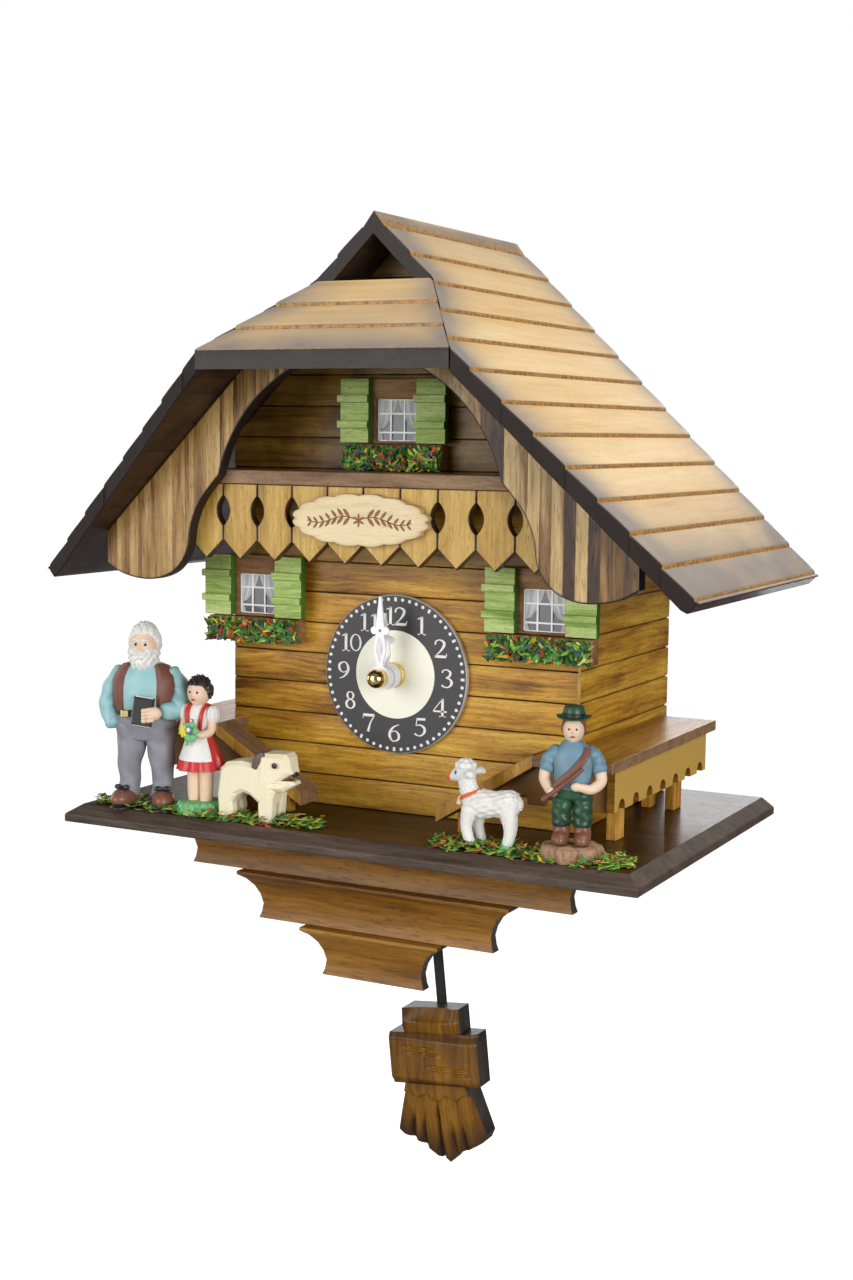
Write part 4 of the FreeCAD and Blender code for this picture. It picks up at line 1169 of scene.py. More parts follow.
def straws(centres, lengths, tilt, shares, rng, box_low, box_high, flat=1.0):
    """Bent straws: three small cross-sections each, turned by yaw and tilt, shifted to their centres."""
    count = len(centres)
    station = np.array([-1.0, 0.0, 1.0])[:, None]
    width = np.array([0.55, 1.0, 0.4])[:, None]
    ring = np.array([(-1, -0.5), (1, -0.5), (1, 0.5), (-1, 0.5)]) * (0.55, 0.24)
    bend = rng.uniform(-0.5, 0.5, count)
    base = np.zeros((count, 3, 4, 3))
    base[..., 0] = station * lengths[:, None, None]
    base[..., 1] = ring[:, 0] * width + (bend[:, None, None] * station**2) * lengths[:, None, None]
    base[..., 2] = ring[:, 1] * width
    yaw = rng.uniform(0, 2 * np.pi, count)
    lift = rng.normal(0, tilt, count)
    cy, sy, cl, sl = np.cos(yaw), np.sin(yaw), np.cos(lift), np.sin(lift)
    turn = np.stack([np.stack([cy * cl, -sy, -cy * sl], -1), np.stack([sy * cl, cy, -sy * sl], -1),
                     np.stack([sl, 0 * sl, cl], -1)], 1)
    points = np.einsum("nij,nrkj->nrki", turn, base)
    if flat < 1.0:
        points[..., [1, 2]] = points[..., [2, 1]]
    points = points + centres[:, None, None]
    points = np.clip(points, box_low, box_high).reshape(-1, 3)
    one = np.concatenate([grid_quads(3, 4, wrap=True), [[3, 2, 1, 0]], [[8, 9, 10, 11]]])
    faces = (one[None] + 12 * np.arange(count)[:, None, None]).reshape(-1, 4)
    dye = DYES[rng.choice(len(DYES), count, p=np.array(shares) / sum(shares))]
    dye = np.clip(dye * rng.uniform(0.8, 1.7, (count, 1)), 0, 0.9)
    return {"points": points, "faces": [faces], "slots": [np.zeros(len(faces))],
            "tint": np.repeat(dye, 12, 0)}


rng = np.random.default_rng(8)
for place, (x, top) in WINDOWS.items():
    low, high = corners("flower_box_" + place)
    count = 430
    across = x + rng.uniform(-17.2, 17.2, count)
    tall = top - 25.2 + rng.uniform(-1, 1, count) * 3.5
    out = -5.4 - rng.uniform(0, 1,
                             count) ** 0.8 * 2.9 * np.sqrt(np.clip(1 - ((tall - top + 25.2) / 4.6) ** 2, 0,
                                                                   1))
    centres = np.column_stack([across, out, tall])
    mixed = straws(centres, rng.uniform(0.8, 2.9, count), 0.7, (5, 3.5, 2.6, 4, 0.9, 1.3, 1.1, 0.35, 1.6),
                   rng, low, high, flat=0.5)
    make("flowers_" + place, mixed, [STRAW], sharp=0)

# %% Turf on the platform


def turf(x0, x1, y_front, y_back, count, name, node):
    """Loose straws in a strip: denser along its middle, a few strays round it."""
    x = rng.uniform(x0, x1, count)
    share = (x - x0) / (x1 - x0)
    middle = (y_front + y_back) / 2 + 1.2 * np.sin(share * 9.0)
    spread = (y_back - y_front) / 2 * np.sqrt(np.clip(1 - (2 * share - 1) ** 6, 0.05, 1))
    y = np.clip(middle + rng.normal(0, 0.52, count) * spread, FLOOR_LOW[1] + 4.6, 200)
    z = GROUND + 0.25 + rng.uniform(0, 1, count) ** 2.0 * 2.3
    centres = np.column_stack([x, y, z])
    strip = straws(centres, rng.uniform(0.6, 2.1, count), 0.32, (3, 5, 5.5, 1.0, 3.0, 1.6, 1.2, 0.5, 0.15),
                   rng,
                   (x0 - 4, FLOOR_LOW[1] + 0.5, GROUND + 0.02), (x1 + 4, 0, GROUND + 6.0))
    make(name, strip, [STRAW], sharp=0, replaces=(node,))


turf(-95, -9, -41.0, -27.0, 900, "turf_left", "grass_left")
turf(31, 95, -41.0, -25.0, 900, "turf_right", "grass_right")

# %% [markdown]
# ## Plaque
# The oval name board has a scalloped edge. Instead of a name it carries a plain leaf spray, burnt in.

# %% Plaque
PLAQUE_LOW, PLAQUE_HIGH = corners("plaque")
plaque_z = (PLAQUE_LOW[2] + PLAQUE_HIGH[2]) / 2
turn = np.linspace(0, 2 * np.pi, 192, endpoint=False)
scallop = 1 - 0.05 * (1 - np.abs(np.sin(8 * turn)) ** 0.8)
outline = np.column_stack([PLAQUE_HIGH[0] * scallop * np.cos(turn),
                           plaque_z + (PLAQUE_HIGH[2] - plaque_z) * (1.5 * scallop - 0.5) * np.sin(turn)])
reach = np.array([0.04, 0.5, 0.84, 0.93, 0.985, 1.0, 1.0, 0.985, 0.5, 0.04])[:, None, None]
level = np.interp(np.arange(10), [4, 5, 6, 7],
                  [0.12, 0.4, PLAQUE_HIGH[1] - PLAQUE_LOW[1] - 0.3, PLAQUE_HIGH[1] - PLAQUE_LOW[1]])
rings = np.stack([*np.moveaxis((outline - (0, plaque_z)) * reach, -1, 0), np.repeat(level[:, None], 192, 1)],
                 -1)[..., [0, 2, 1]]
rings = rings + (0, PLAQUE_LOW[1], plaque_z)
edge_burn = np.repeat(np.array([0, 0, 0, 0.12, 0.40, 0.6, 0.6, 0.6, 0, 0])[:, None], 192, 1)
make("scalloped_plaque", [lofted(rings, burn=edge_burn)], [PLAQUE_WOOD], replaces=("plaque",))
BURNT = paint("burnt_line", (0.30, 0.14, 0.045), (0.16, 0.07, 0.02), rough=0.7, scale=900.0)


def leaf(x, z, length, angle, y0, y1):
    """Pointed leaf: a straight middle whose half width is a sine along it."""
    t = np.linspace(0.02, 0.98, 14)
    ahead = np.array([math.cos(angle), math.sin(angle)])
    line = np.array([x, z]) + t[:, None] * length * ahead
    return stroke(np.column_stack([line, 0.30 * length * np.sin(np.pi * t) ** 0.8 + 0.05]), y0, y1)


spray = []
for sign in (-1, 1):
    stem_x = np.linspace(1.6, 18.5, 9)
    stem = np.column_stack([sign * stem_x, plaque_z + 1.1 * np.sin(stem_x * 0.32), np.full(9, 0.34)])
    spray.append(stroke(stem, PLAQUE_LOW[1], PLAQUE_LOW[1] + 0.4))
    for k, x in enumerate(np.linspace(3.2, 17.0, 7)):
        z = plaque_z + 1.1 * math.sin(x * 0.32)
        for lean in (0.85, -0.85):
            heading = lean if sign > 0 else math.pi - lean
            spray.append(leaf(sign * x, z, 3.5 - 0.22 * k, heading, PLAQUE_LOW[1], PLAQUE_LOW[1] + 0.4))
for k in range(6):
    spray.append(leaf(0, plaque_z, 2.2, k * math.pi / 3 + math.pi / 6, PLAQUE_LOW[1], PLAQUE_LOW[1] + 0.4))
make("burnt_spray", spray, [BURNT])

# %% [markdown]
# ## Pendulum bob
# The bob is carved from one block: a neck with a scooped top, a wide middle with four gouge cuts,
# and a leaf whose grooves fan out to a broken edge. Three grids carry the cuts as depth,
# and the finished block is swung about the pivot like its CAD twin.

# %% Bob
PIVOT_X, PIVOT_Z, TILT = 0.0, -24.0, math.radians(6.2)
BOB_FRONT, BOB_BACK = corners("pendulum_bob")[0][1], corners("pendulum_bob")[1][1]


def hang(points):
    """Turn about the pivot's axis by the resting tilt."""
    x, z = points[:, 0] - PIVOT_X, points[:, 2] - PIVOT_Z
    turned_x = x * math.cos(TILT) - z * math.sin(TILT)
    turned_z = x * math.sin(TILT) + z * math.cos(TILT)
    return np.column_stack([PIVOT_X + turned_x, points[:, 1], PIVOT_Z + turned_z])


def carved(x, drop, depth, shade, pale=0.0):
    """Part of the block: front grid cut back by depth, flat back; pale lightens fresh cuts."""
    front = np.stack([x, BOB_FRONT + depth, PIVOT_Z - drop], -1)
    back = np.stack([x, np.full_like(x, BOB_BACK), PIVOT_Z - drop], -1)
    shell = slab(front, back, burn=shade, tone=pale + 0 * x, uv=np.stack([-drop, x], -1), slots=(0, 1, 1))
    return moved(shell, hang)


def bob_parts():
    """Neck, middle and leaf."""
    u, v = np.meshgrid(np.linspace(-1, 1, 41), np.linspace(0, 1, 25))
    neck_x, neck_d = 10.3 * u, 89.5 + 8.6 * v
    scoop = 3.0 * np.clip(1 - (u * 0.93) ** 2, 0, 1) ** 0.8 * np.clip(1 - v / 0.52, 0, 1) ** 0.7
    ledge = 0.9 * np.clip((v - 0.5) / 0.5, 0, 1) ** 1.5
    shoulder = 1.6 * np.clip((u - 0.80) / 0.20, 0, 1)
    neck = carved(neck_x, neck_d, scoop + ledge + shoulder, 0.25 * (scoop > 0.2) + 0.5 * (v > 0.92))
    u, v = np.meshgrid(np.linspace(-1, 1, 65), np.linspace(0, 1, 61))
    mid_x, mid_d = 16.0 * u, 98.0 + 17.6 * v
    depth = 1.7 * np.clip((0.14 + 0.05 * u - v) / 0.14, 0, 1) + 1.3 * np.clip((v - 0.90 - 0.04 * u) / 0.10, 0,
                                                                              1)
    depth = depth + 2.2 * np.clip((u - 0.86) / 0.14, 0, 1)
    gouges = 0 * u
    for level, left, right, bite in ((0.30, -0.70, 0.05, 0.8), (0.40, -0.60, 0.25, 0.9),
                                     (0.64, -0.15, 0.80, 0.9), (0.74, -0.05, 0.88, 0.8)):
        reach = np.clip((u - left) / 0.12, 0, 1) * np.clip((right - u) / 0.12, 0, 1)
        gouges = gouges + bite * reach * np.clip(1 - np.abs(v - level - 0.05 * u) / 0.032, 0, 1)
    shade = 0.45 * (v < 0.14) + 0.35 * np.clip((np.abs(u) - 0.9) / 0.1, 0,
                                               1) + 0.35 * np.clip((v - 0.85) / 0.15, 0, 1)
    shade = shade + 0.5 * np.exp(-((u - 0.45) / 0.45) ** 2 - ((v - 0.22) / 0.28) ** 2) - 0.7 * gouges
    middle = carved(mid_x, mid_d, depth + gouges, np.clip(shade, 0, 1), 1.1 * gouges)
    u, v = np.meshgrid(np.linspace(-1, 1, 97), np.linspace(0, 1, 49))
    foot = np.interp(u, [-1, -0.86, -0.60, -0.58, -0.36, -0.34, -0.06, 0.02, 0.16, 0.22, 0.24, 0.60, 0.9, 1],
                     [132.4, 133.8, 134.8, 135.6, 137.0, 137.8, 141.0, 140.4, 142.2, 140.6, 139.4, 137.4,
                      134.8, 132.0])
    leaf_d = 115.2 + (foot - 115.2) * v
    leaf_x = u * np.interp(leaf_d, [115.2, 132.0, 135.0], [11.3, 16.4, 16.6])
    collar = 1.5 * np.clip((0.20 + 0.035 * np.cos(u * 11) - v) / 0.02, 0, 1)
    depth = 1.2 - collar * 0.8 + 1.3 * np.clip((u - 0.80) / 0.20, 0, 1) * np.clip(v * 2, 0, 1)
    depth = depth + 0.6 * np.clip((-0.86 - u) / 0.14, 0, 1) + 1.1 * v**2
    cuts = 0 * u
    for centre, begin, bite in ((-0.66, 0.45, 1.2), (-0.40, 0.42, 1.3), (-0.03, 0.18, 1.9), (0.26, 0.50, 1.2),
                                (0.50, 0.52, 1.1)):
        along = np.clip((v - begin) / 0.25, 0, 1)
        depth = depth + bite * along * np.clip(1 - np.abs(u - centre) / (0.035 + 0.05 * v), 0, 1)
        cuts = np.maximum(cuts, along * np.clip(1 - np.abs(u - centre) / (0.06 + 0.08 * v), 0, 1))
    shade = 0.9 * np.clip((v - 0.55) / 0.45, 0, 1) + 0.6 * cuts + 0.25 * np.clip(1 - v / 0.10, 0, 1)
    return [neck, middle, carved(leaf_x, leaf_d, depth, np.clip(shade, 0, 1))]


BOB_WOOD = wood("bob_wood", (0.050, 0.016, 0.001), (0.165, 0.066, 0.003), (0.34, 0.16, 0.012), fineness=1.1,
                edge=(0.030, 0.013, 0.006), rough=0.38, coat=0.05)
make("carved_bob", bob_parts(), [BOB_WOOD, GREY_END], body="pendulum",
     replaces=("pendulum_bob",), sharp=40)

# %% [markdown]
# ## Figures
# The people and animals are small cast or carved figures, painted by brush in coats that meet softly.
# Each one is built from round-ended limbs and lumps on its own axes, X right, Y away, Z up from its feet,
# and then set on its spot. Faces are plain doll faces: eyes halfway down the head, nose and mouth evenly
# below.

# %% Figure paints
FLESH = paint("paint_flesh", (0.84, 0.62, 0.45), (0.66, 0.38, 0.24), rough=0.5, spread=0.2, scale=300)
SNOW = paint("paint_snow", (0.84, 0.83, 0.79), (0.56, 0.53, 0.47), rough=0.55, spread=0.3, scale=420,
             relief=0.08)
TEAL = paint("paint_teal", (0.34, 0.58, 0.60), (0.19, 0.38, 0.41), rough=0.5, spread=0.25)
MAROON = paint("paint_maroon", (0.20, 0.075, 0.05), (0.09, 0.03, 0.022), rough=0.5, spread=0.3)
SLATE = paint("paint_slate", (0.27, 0.27, 0.30), (0.15, 0.15, 0.17), rough=0.5, spread=0.25)
BOOT = paint("paint_boot", (0.22, 0.085, 0.05), (0.08, 0.03, 0.02), rough=0.4, coat=0.2)
INKY = paint("paint_black", (0.018, 0.018, 0.020), (0.008, 0.008, 0.008), rough=0.4, coat=0.2)
SCARLET = paint("paint_scarlet", (0.62, 0.025, 0.022), (0.32, 0.010, 0.012), rough=0.42, coat=0.2, spread=0.3)
DARK_HAIR = paint("paint_hair", (0.035, 0.024, 0.022), (0.012, 0.009, 0.009), rough=0.4, coat=0.2, relief=0.1)
MOSS = paint("paint_moss", (0.20, 0.52, 0.22), (0.07, 0.30, 0.09), rough=0.55, spread=0.5, scale=500,
             relief=0.15)
SUN = paint("paint_sun", (0.80, 0.70, 0.05), (0.55, 0.42, 0.02), rough=0.5)
SKY = paint("paint_blue", (0.17, 0.30, 0.38), (0.075, 0.15, 0.21), rough=0.5, spread=0.4)
FOREST = paint("paint_forest", (0.014, 0.085, 0.035), (0.014, 0.022, 0.016), rough=0.42, coat=0.15,
               spread=0.9, scale=160)
TOMATO = paint("paint_tomato", (0.78, 0.13, 0.03), (0.50, 0.06, 0.02), rough=0.45, spread=0.25)
BARK = paint("paint_bark", (0.42, 0.25, 0.15), (0.12, 0.055, 0.035), rough=0.7, spread=0.6, scale=600,
             relief=0.3)
LIME = wood("limewood", (0.82, 0.70, 0.47), (0.90, 0.81, 0.58), (0.94, 0.88, 0.70), along="Z", coat=0.0,
            rough=0.5,
            contrast=0.5, relief=0.03, pore=0.04)
DOG_EAR = paint("paint_ear", (0.13, 0.095, 0.075), (0.06, 0.045, 0.035), rough=0.5, spread=0.4)
LOG_TOP = wood("log_top", (0.26, 0.12, 0.06), (0.56, 0.36, 0.19), (0.78, 0.58, 0.38), along="X", coat=0.0,
               rough=0.7)


def twist(angle, middle=(0.0, 0.0)):
    """Turn about an upright axis through middle."""
    def change(points):
        x, y = points[:, 0] - middle[0], points[:, 1] - middle[1]
        return np.column_stack([middle[0] + x * math.cos(angle) - y * math.sin(angle),
                                middle[1] + x * math.sin(angle) + y * math.cos(angle), points[:, 2]])
    return change


def stand(shells, spot):
    """Turn shells drawn on the figure's own axes by the spot's angle and set them on it."""
    x, y, angle = spot
    return [moved(moved(shell, twist(angle)), lambda points: points + (x, y, GROUND)) for shell in shells]


def smoothstep(value, low, high):
    """Smooth step: 3t squared less 2t cubed, with t running from 0 at low to 1 at high."""
    t = np.clip((value - low) / (high - low), 0, 1)
    return t * t * (3 - 2 * t)


def face_form(way):
    """Plain doll head: unit sphere with a small nose, eye hollows, brow, cheeks and chin on its front, -Y."""
    x, y, z = way[..., 0], way[..., 1], way[..., 2]
    front = smoothstep(-y, 0.1, 0.6)
    bump = (0.17 * np.exp(-(x / 0.13) ** 2 - ((z + 0.13) / 0.13) ** 2)
            + 0.07 * np.exp(-(x / 0.09) ** 2 - ((z - 0.08) / 0.2) ** 2))
    hollow = 0.07 * (np.exp(-((x - 0.34) / 0.17) ** 2 - ((z - 0.08) / 0.12) ** 2)
                     + np.exp(-((x + 0.34) / 0.17) ** 2 - ((z - 0.08) / 0.12) ** 2))
    brow = 0.035 * np.exp(-(x / 0.5) ** 2 - ((z - 0.27) / 0.10) ** 2)
    cheek = 0.035 * (np.exp(-((x - 0.45) / 0.2) ** 2 - ((z + 0.25) / 0.2) ** 2)
                     + np.exp(-((x + 0.45) / 0.2) ** 2 - ((z + 0.25) / 0.2) ** 2))
    lips = 0.04 * np.exp(-(x / 0.2) ** 2 - ((z + 0.46) / 0.06) ** 2)
    chin = 0.06 * np.exp(-(x / 0.25) ** 2 - ((z + 0.78) / 0.14) ** 2)
    return 1 + front * (bump - hollow + brow + cheek + lips + chin)


def hair_form(low_front, low_back, thick, curl=0.03, seed=0.0):
    """Shell that stands proud over the hair and dips inside the head elsewhere."""
    def form(way):
        x, y, z = way[..., 0], way[..., 1], way[..., 2]
        line = np.where(y < 0, low_front + (low_back - low_front) * (1 - smoothstep(-y, 0.0, 0.75)), low_back)
        inside = smoothstep(z - line, -0.07, 0.07)
        lock = curl * (np.sin(13 * x + 9 * z + seed) * np.sin(11 * y - 8 * z + 2 * seed)
                       + 0.5 * np.sin(27 * x + 21 * y))
        return 0.86 + inside * (0.14 + thick + lock)
    return form


def eyes(centre, radii, size=0.085):
    """Two small glossy dots on the front of a head."""
    dots = []
    for side in (-1, 1):
        spot = np.array(centre) + np.array(radii) * (side * 0.35, -0.895, 0.07)
        dots.append(lump(spot, np.array([1.25, 0.6, 1.3]) * size * radii[0], rows=8, columns=12))
    return dots

# %% Ears and figure pieces


def ears(centre, radii, size=0.28):
    """Two flattened lumps, one at each side of the head."""
    return [lump(np.array(centre) + np.array(radii) * (side * 1.0, 0.08, -0.02),
                 np.array([0.16, 0.26, 0.42]) * radii[0] * size * 2.6,
                 rows=10, columns=14) for side in (-1, 1)]


def person_piece(name, figure, shells, material, spot, replaces=()):
    """One painted piece of a figure, set on its spot."""
    make(figure + "_" + name, stand(shells, spot), [material], replaces=replaces)


# %% Old man


def folds(count, deep, seed=0.0):
    """Soft creases round a limb: waves that climb as they go round."""
    return lambda h, t: 1 + deep * np.sin(count * h * 6.28 + 2.0 * np.cos(t + seed)) * np.sin(t * 2 + seed
                                                                                              + 5 * h)


def front_opening(half_angle, proud, sunk=0.86, front=True):
    """Garment that covers only the sides and back, or only the front, of a body."""
    def form(h, t):
        away = np.abs(np.angle(np.exp(1j * (t - 1.5 * np.pi))))
        cover = smoothstep(away, half_angle - 0.06, half_angle + 0.06)
        cover = 1 - cover if front else cover
        return sunk + (proud - sunk) * cover + 0 * h
    return form


spot = (-76.5, -33.0, 0.30)
legs = [skin([(s * 5.9, -0.6, 4.4), (s * 5.7, -0.1, 9), (s * 5.5, -0.3, 16), (s * 4.9, 0.2, 22),
              (s * 4.5, 0.2, 27.5)],
             [3.7, 3.5, 4.1, 5.0, 5.6], [3.8, 3.5, 4.2, 5.2, 5.9], rings=36, around=36,
             form=folds(3.4, 0.06, s)) for s in (-1, 1)]
seat = skin([(0, 0.2, 23.5), (0, 0.3, 28.0), (0, 0.1, 31.4)], [9.2, 10.6, 9.5], [5.6, 7.0, 6.6], dome=0.3,
            form=folds(1.2, 0.03))
person_piece("trousers", "old_man", legs + [seat], SLATE, spot, replaces=("old_man",))
torso_path = [(0, 0, 31.6), (0, -0.5, 37), (0, -0.1, 43.0), (0, 0.6, 47.6)]
torso = skin(torso_path, [9.2, 9.7, 9.9, 6.8], [6.7, 7.1, 6.3, 4.4], dome=0.3, rings=34, around=40)
sleeve_left = skin([(-8.4, 0.6, 44.8), (-11.9, 1.0, 39.5), (-12.9, 0.4, 33.5), (-10.6, -2.4, 28.0)],
                   [3.0, 3.1, 3.3, 2.7],
                   [3.3, 3.3, 3.3, 2.7], rings=34, around=32, form=folds(4.2, 0.07))
sleeve_right = skin([(8.4, 0.6, 44.8), (11.9, 0.6, 39.5), (11.8, -2.8, 33.8), (8.2, -6.2, 33.0)],
                    [3.0, 3.1, 3.3, 2.7],
                    [3.3, 3.3, 3.3, 2.7], rings=34, around=32, form=folds(4.2, 0.07, 2.0))
collar = skin([(0, -0.2, 47.2), (0, -0.4, 49.2)], [3.9, 3.5], [3.7, 3.3], rings=6, dome=0.2)
person_piece("shirt", "old_man", [torso, sleeve_left, sleeve_right, collar], TEAL, spot)
vest = skin([(0, 0, 33.2), (0, -0.5, 37), (0, -0.1, 43.0), (0, 0.6, 47.3)], [9.6, 10.0, 10.3, 7.6],
            [7.1, 7.5, 6.9, 4.9],
            dome=0.2, rings=40, around=72, form=front_opening(0.62, 1.07, front=False))
person_piece("vest", "old_man", [vest], MAROON, spot)
belt = plate(circle(0, 0, 10.2, 64, 7.7), 31.0, 33.2, ease=0.3, axes="xyz")
person_piece("belt", "old_man", [belt], INKY, spot)
person_piece("buckle", "old_man", [block(-6.0, -3.2, -8.0, -6.4, 30.9, 33.3, 0.25)], BRASS, spot)
book = block(-1.2, 5.6, -10.6, -8.6, 28.6, 38.0, 0.45)
pages = block(-0.7, 5.3, -10.2, -9.0, 28.45, 38.15, 0.1)
lean = math.radians(-7)


def tipped(points, middle=(2.2, 0, 33.3)):
    x, z = points[:, 0] - middle[0], points[:, 2] - middle[2]
    return np.column_stack([middle[0] + x * math.cos(lean) - z * math.sin(lean), points[:, 1],
                            middle[2] + x * math.sin(lean) + z * math.cos(lean)])


person_piece("book", "old_man", [moved(book, tipped)], INKY, spot)
person_piece("pages", "old_man", [moved(pages, tipped)], SNOW, spot)
hand = [lump((5.6, -9.6, 32.8), (2.9, 1.9, 2.3))]
hand += [skin([(5.8, -10.6, 34.2 - 1.15 * k), (3.9, -11.4, 34.0 - 1.15 * k), (2.6, -11.0, 33.7 - 1.1 * k)],
              [0.75] * 3, [0.75] * 3,
              rings=8, around=12) for k in range(4)]
head_at, head_size = np.array([0.0, -0.9, 54.2]), np.array([4.6, 4.9, 6.0])
person_piece("skin", "old_man",
             hand + [lump(head_at, head_size, face_form, 44, 56)] + ears(head_at, head_size)
             + [skin([(0, 0, 46.5), (0, -0.3, 50)], [3.0, 3.0], [3.0, 3.0], rings=6)], FLESH, spot)
person_piece("eyes", "old_man", eyes(head_at, head_size), INKY, spot)


def beard_form(way):
    """Full beard: stands proud below the cheeks, longest under the chin, combed in wavy locks."""
    x, y, z = way[..., 0], way[..., 1], way[..., 2]
    edge = 0.02 + 0.30 * np.exp(-(x / 0.30) ** 2) * -1
    below = smoothstep(edge - z, -0.05, 0.12) * smoothstep(-y + 0.35, 0.0, 0.3)
    mouth = 0.16 * np.exp(-(x / 0.17) ** 2 - ((z + 0.52) / 0.05) ** 2) * smoothstep(-y, 0, 0.3)
    locks = 0.05 * np.sin(20 * x + 5 * np.sin(7 * z)) + 0.03 * np.sin(37 * x + 9 * z)
    return 0.84 + below * (0.28 + 0.22 * np.exp(-((z + 0.75) / 0.4) ** 2) + locks) - mouth


beard = lump(head_at + (0, -0.3, -0.5), head_size * (1.0, 1.0, 1.12), beard_form, 60, 84)
moustache = [skin([(0.1 * s, -5.9, 51.9), (1.5 * s, -5.9, 51.7), (3.0 * s, -4.9, 50.6)], [0.85, 1.0, 0.5],
                  [0.7, 0.8, 0.5],
                  rings=12, around=14, form=lambda h, t: 1 + 0.12 * np.sin(5 * t + 9 * h)) for s in (-1, 1)]
crown = lump(head_at + (0, 0.3, 0.5), head_size * (1.03, 1.02, 1.06), hair_form(0.52, -0.35, 0.12, 0.05), 60,
             84)
brows = [skin([(s * 0.7, -5.45, 55.9), (s * 1.7, -5.4, 56.2), (s * 2.7, -4.8, 55.8)], [0.4, 0.5, 0.3],
              [0.45, 0.5, 0.3], rings=8,
              around=10) for s in (-1, 1)]
person_piece("beard", "old_man", [beard, crown] + moustache + brows, SNOW, spot)


def level_below(cut):
    """Form for lump that cuts the ellipsoid level under the share cut of its half-height."""
    return lambda way: np.where(way[..., 2] < -cut, cut / np.maximum(-way[..., 2], cut), 1.0)


def shoe(x, y, size, height):
    """Round-toed shoe: a lump whose underside is cut level, on a dark sole."""
    form = level_below(0.35)
    upper = lump((x, y, height), (size * 0.62, size, size * 0.55), form, 22, 32)
    sole = plate(circle(x, y, size * 0.64, 36, size * 1.03), 0.0, 0.9, ease=0.2, axes="xyz")
    return upper, sole


shoes, soles, laces = [], [], []
for s in (-1, 1):
    upper, sole = shoe(s * 6.0, -2.8, 6.3, 3.2)
    splay = twist(s * 0.22, (s * 6.0, 0.0))
    shoes.append(moved(upper, splay))
    soles.append(moved(sole, splay))
    knots = [skin([(s * 6.0 - 1.9, -5.0 + 0.9 * k, 5.5 + 0.3 * k), (s * 6.0, -5.5 + 0.9 * k, 6.3 + 0.3 * k),
                   (s * 6.0 + 1.9, -5.0 + 0.9 * k, 5.5 + 0.3 * k)], [0.45] * 3, [0.45] * 3, rings=8, around=8)
             for k in range(3)]
    bows = [lump((s * 6.0 + b * 1.5, -4.4, 7.0), (1.4, 0.7, 0.9), rows=8, columns=12) for b in (-1, 1)]
    laces += [moved(knot, splay) for knot in knots + bows]
person_piece("shoes", "old_man", shoes, BOOT, spot)
person_piece("soles", "old_man", soles + laces, INKY, spot)

# %% Girl
spot = (-55.8, -32.0, 0.05)


def level_mound(radius, height, form, rows=24, columns=96):
    """Low mound: sides bulge from the ground to a rounded rim, top nearly level."""
    turn = np.linspace(0, 2 * np.pi, columns, endpoint=False)
    reach = np.array([0.97, 1.0, 1.0, 0.97, 0.90, 0.75, 0.45, 0.12])
    level = np.array([0.0, 0.25, 0.55, 0.80, 0.94, 0.99, 1.0, 1.0])
    reach, level = smooth(np.column_stack([reach, level]), rows).T
    rough = form(turn[None, :], level[:, None])
    ring = np.stack([radius * reach[:, None] * rough * np.cos(turn),
                     radius * reach[:, None] * rough * np.sin(turn),
                     height * np.clip(level, 0, 1)[:, None] * (0.85 + 0.15 * rough)], -1)
    # Painted shade: dips in the rim are marked darker.
    return lofted(ring, burn=np.clip((1 - rough) * 5, 0, 1))


mound = level_mound(7.4, 4.2, lambda t, h: 1 + 0.035 * np.sin(19 * t + 5 * h) + 0.03 * np.sin(33 * t - 7 * h))
person_piece("mound", "girl", [mound], MOSS, spot, replaces=("girl",))
legs = [skin([(s * 2.1, 0, 3.6), (s * 2.3, 0.1, 7), (s * 2.3, 0.1, 12), (s * 2.3, 0, 17)],
             [1.9, 2.2, 2.3, 2.5], [2.2, 2.2, 2.3, 2.5])
        for s in (-1, 1)]
arms = [skin([(s * 5.0, -0.6, 30.8), (s * 5.2, -1.9, 27.6), (s * 3.6, -4.0, 26.6), (s * 1.2, -5.2, 27.0)],
             [1.4, 1.4, 1.3, 1.2],
             [1.4, 1.4, 1.3, 1.1]) for s in (-1, 1)]
head_at, head_size = np.array([0.0, -0.5, 39.8]), np.array([3.8, 3.9, 4.6])
neck = skin([(0, 0, 34.6), (0, -0.2, 37.2)], [1.7, 1.7], [1.7, 1.7], rings=6)
person_piece("skin", "girl",
             legs + arms + [neck, lump(head_at, head_size, face_form, 40, 48)] + ears(head_at, head_size,
                                                                                      0.24), FLESH, spot)
person_piece("eyes", "girl", eyes(head_at, head_size), INKY, spot)
person_piece("lips", "girl",
             [lump(head_at + head_size * (0, -0.97, -0.46), (0.75, 0.35, 0.36), rows=8, columns=14)], SCARLET,
             spot)
person_piece("hair", "girl",
             [lump(head_at + (0, 0.25, 0.35), head_size * (1.03, 1.03, 1.02),
                   hair_form(0.46, -0.50, 0.12, 0.075, 1.3), 60, 84)],
             DARK_HAIR, spot)


def pleats(h, t):
    """Skirt folds: deepest at the hem, gone at the waist."""
    return 1 + (1 - h) * (0.06 * np.cos(9 * t) + 0.03 * np.cos(17 * t + 1))


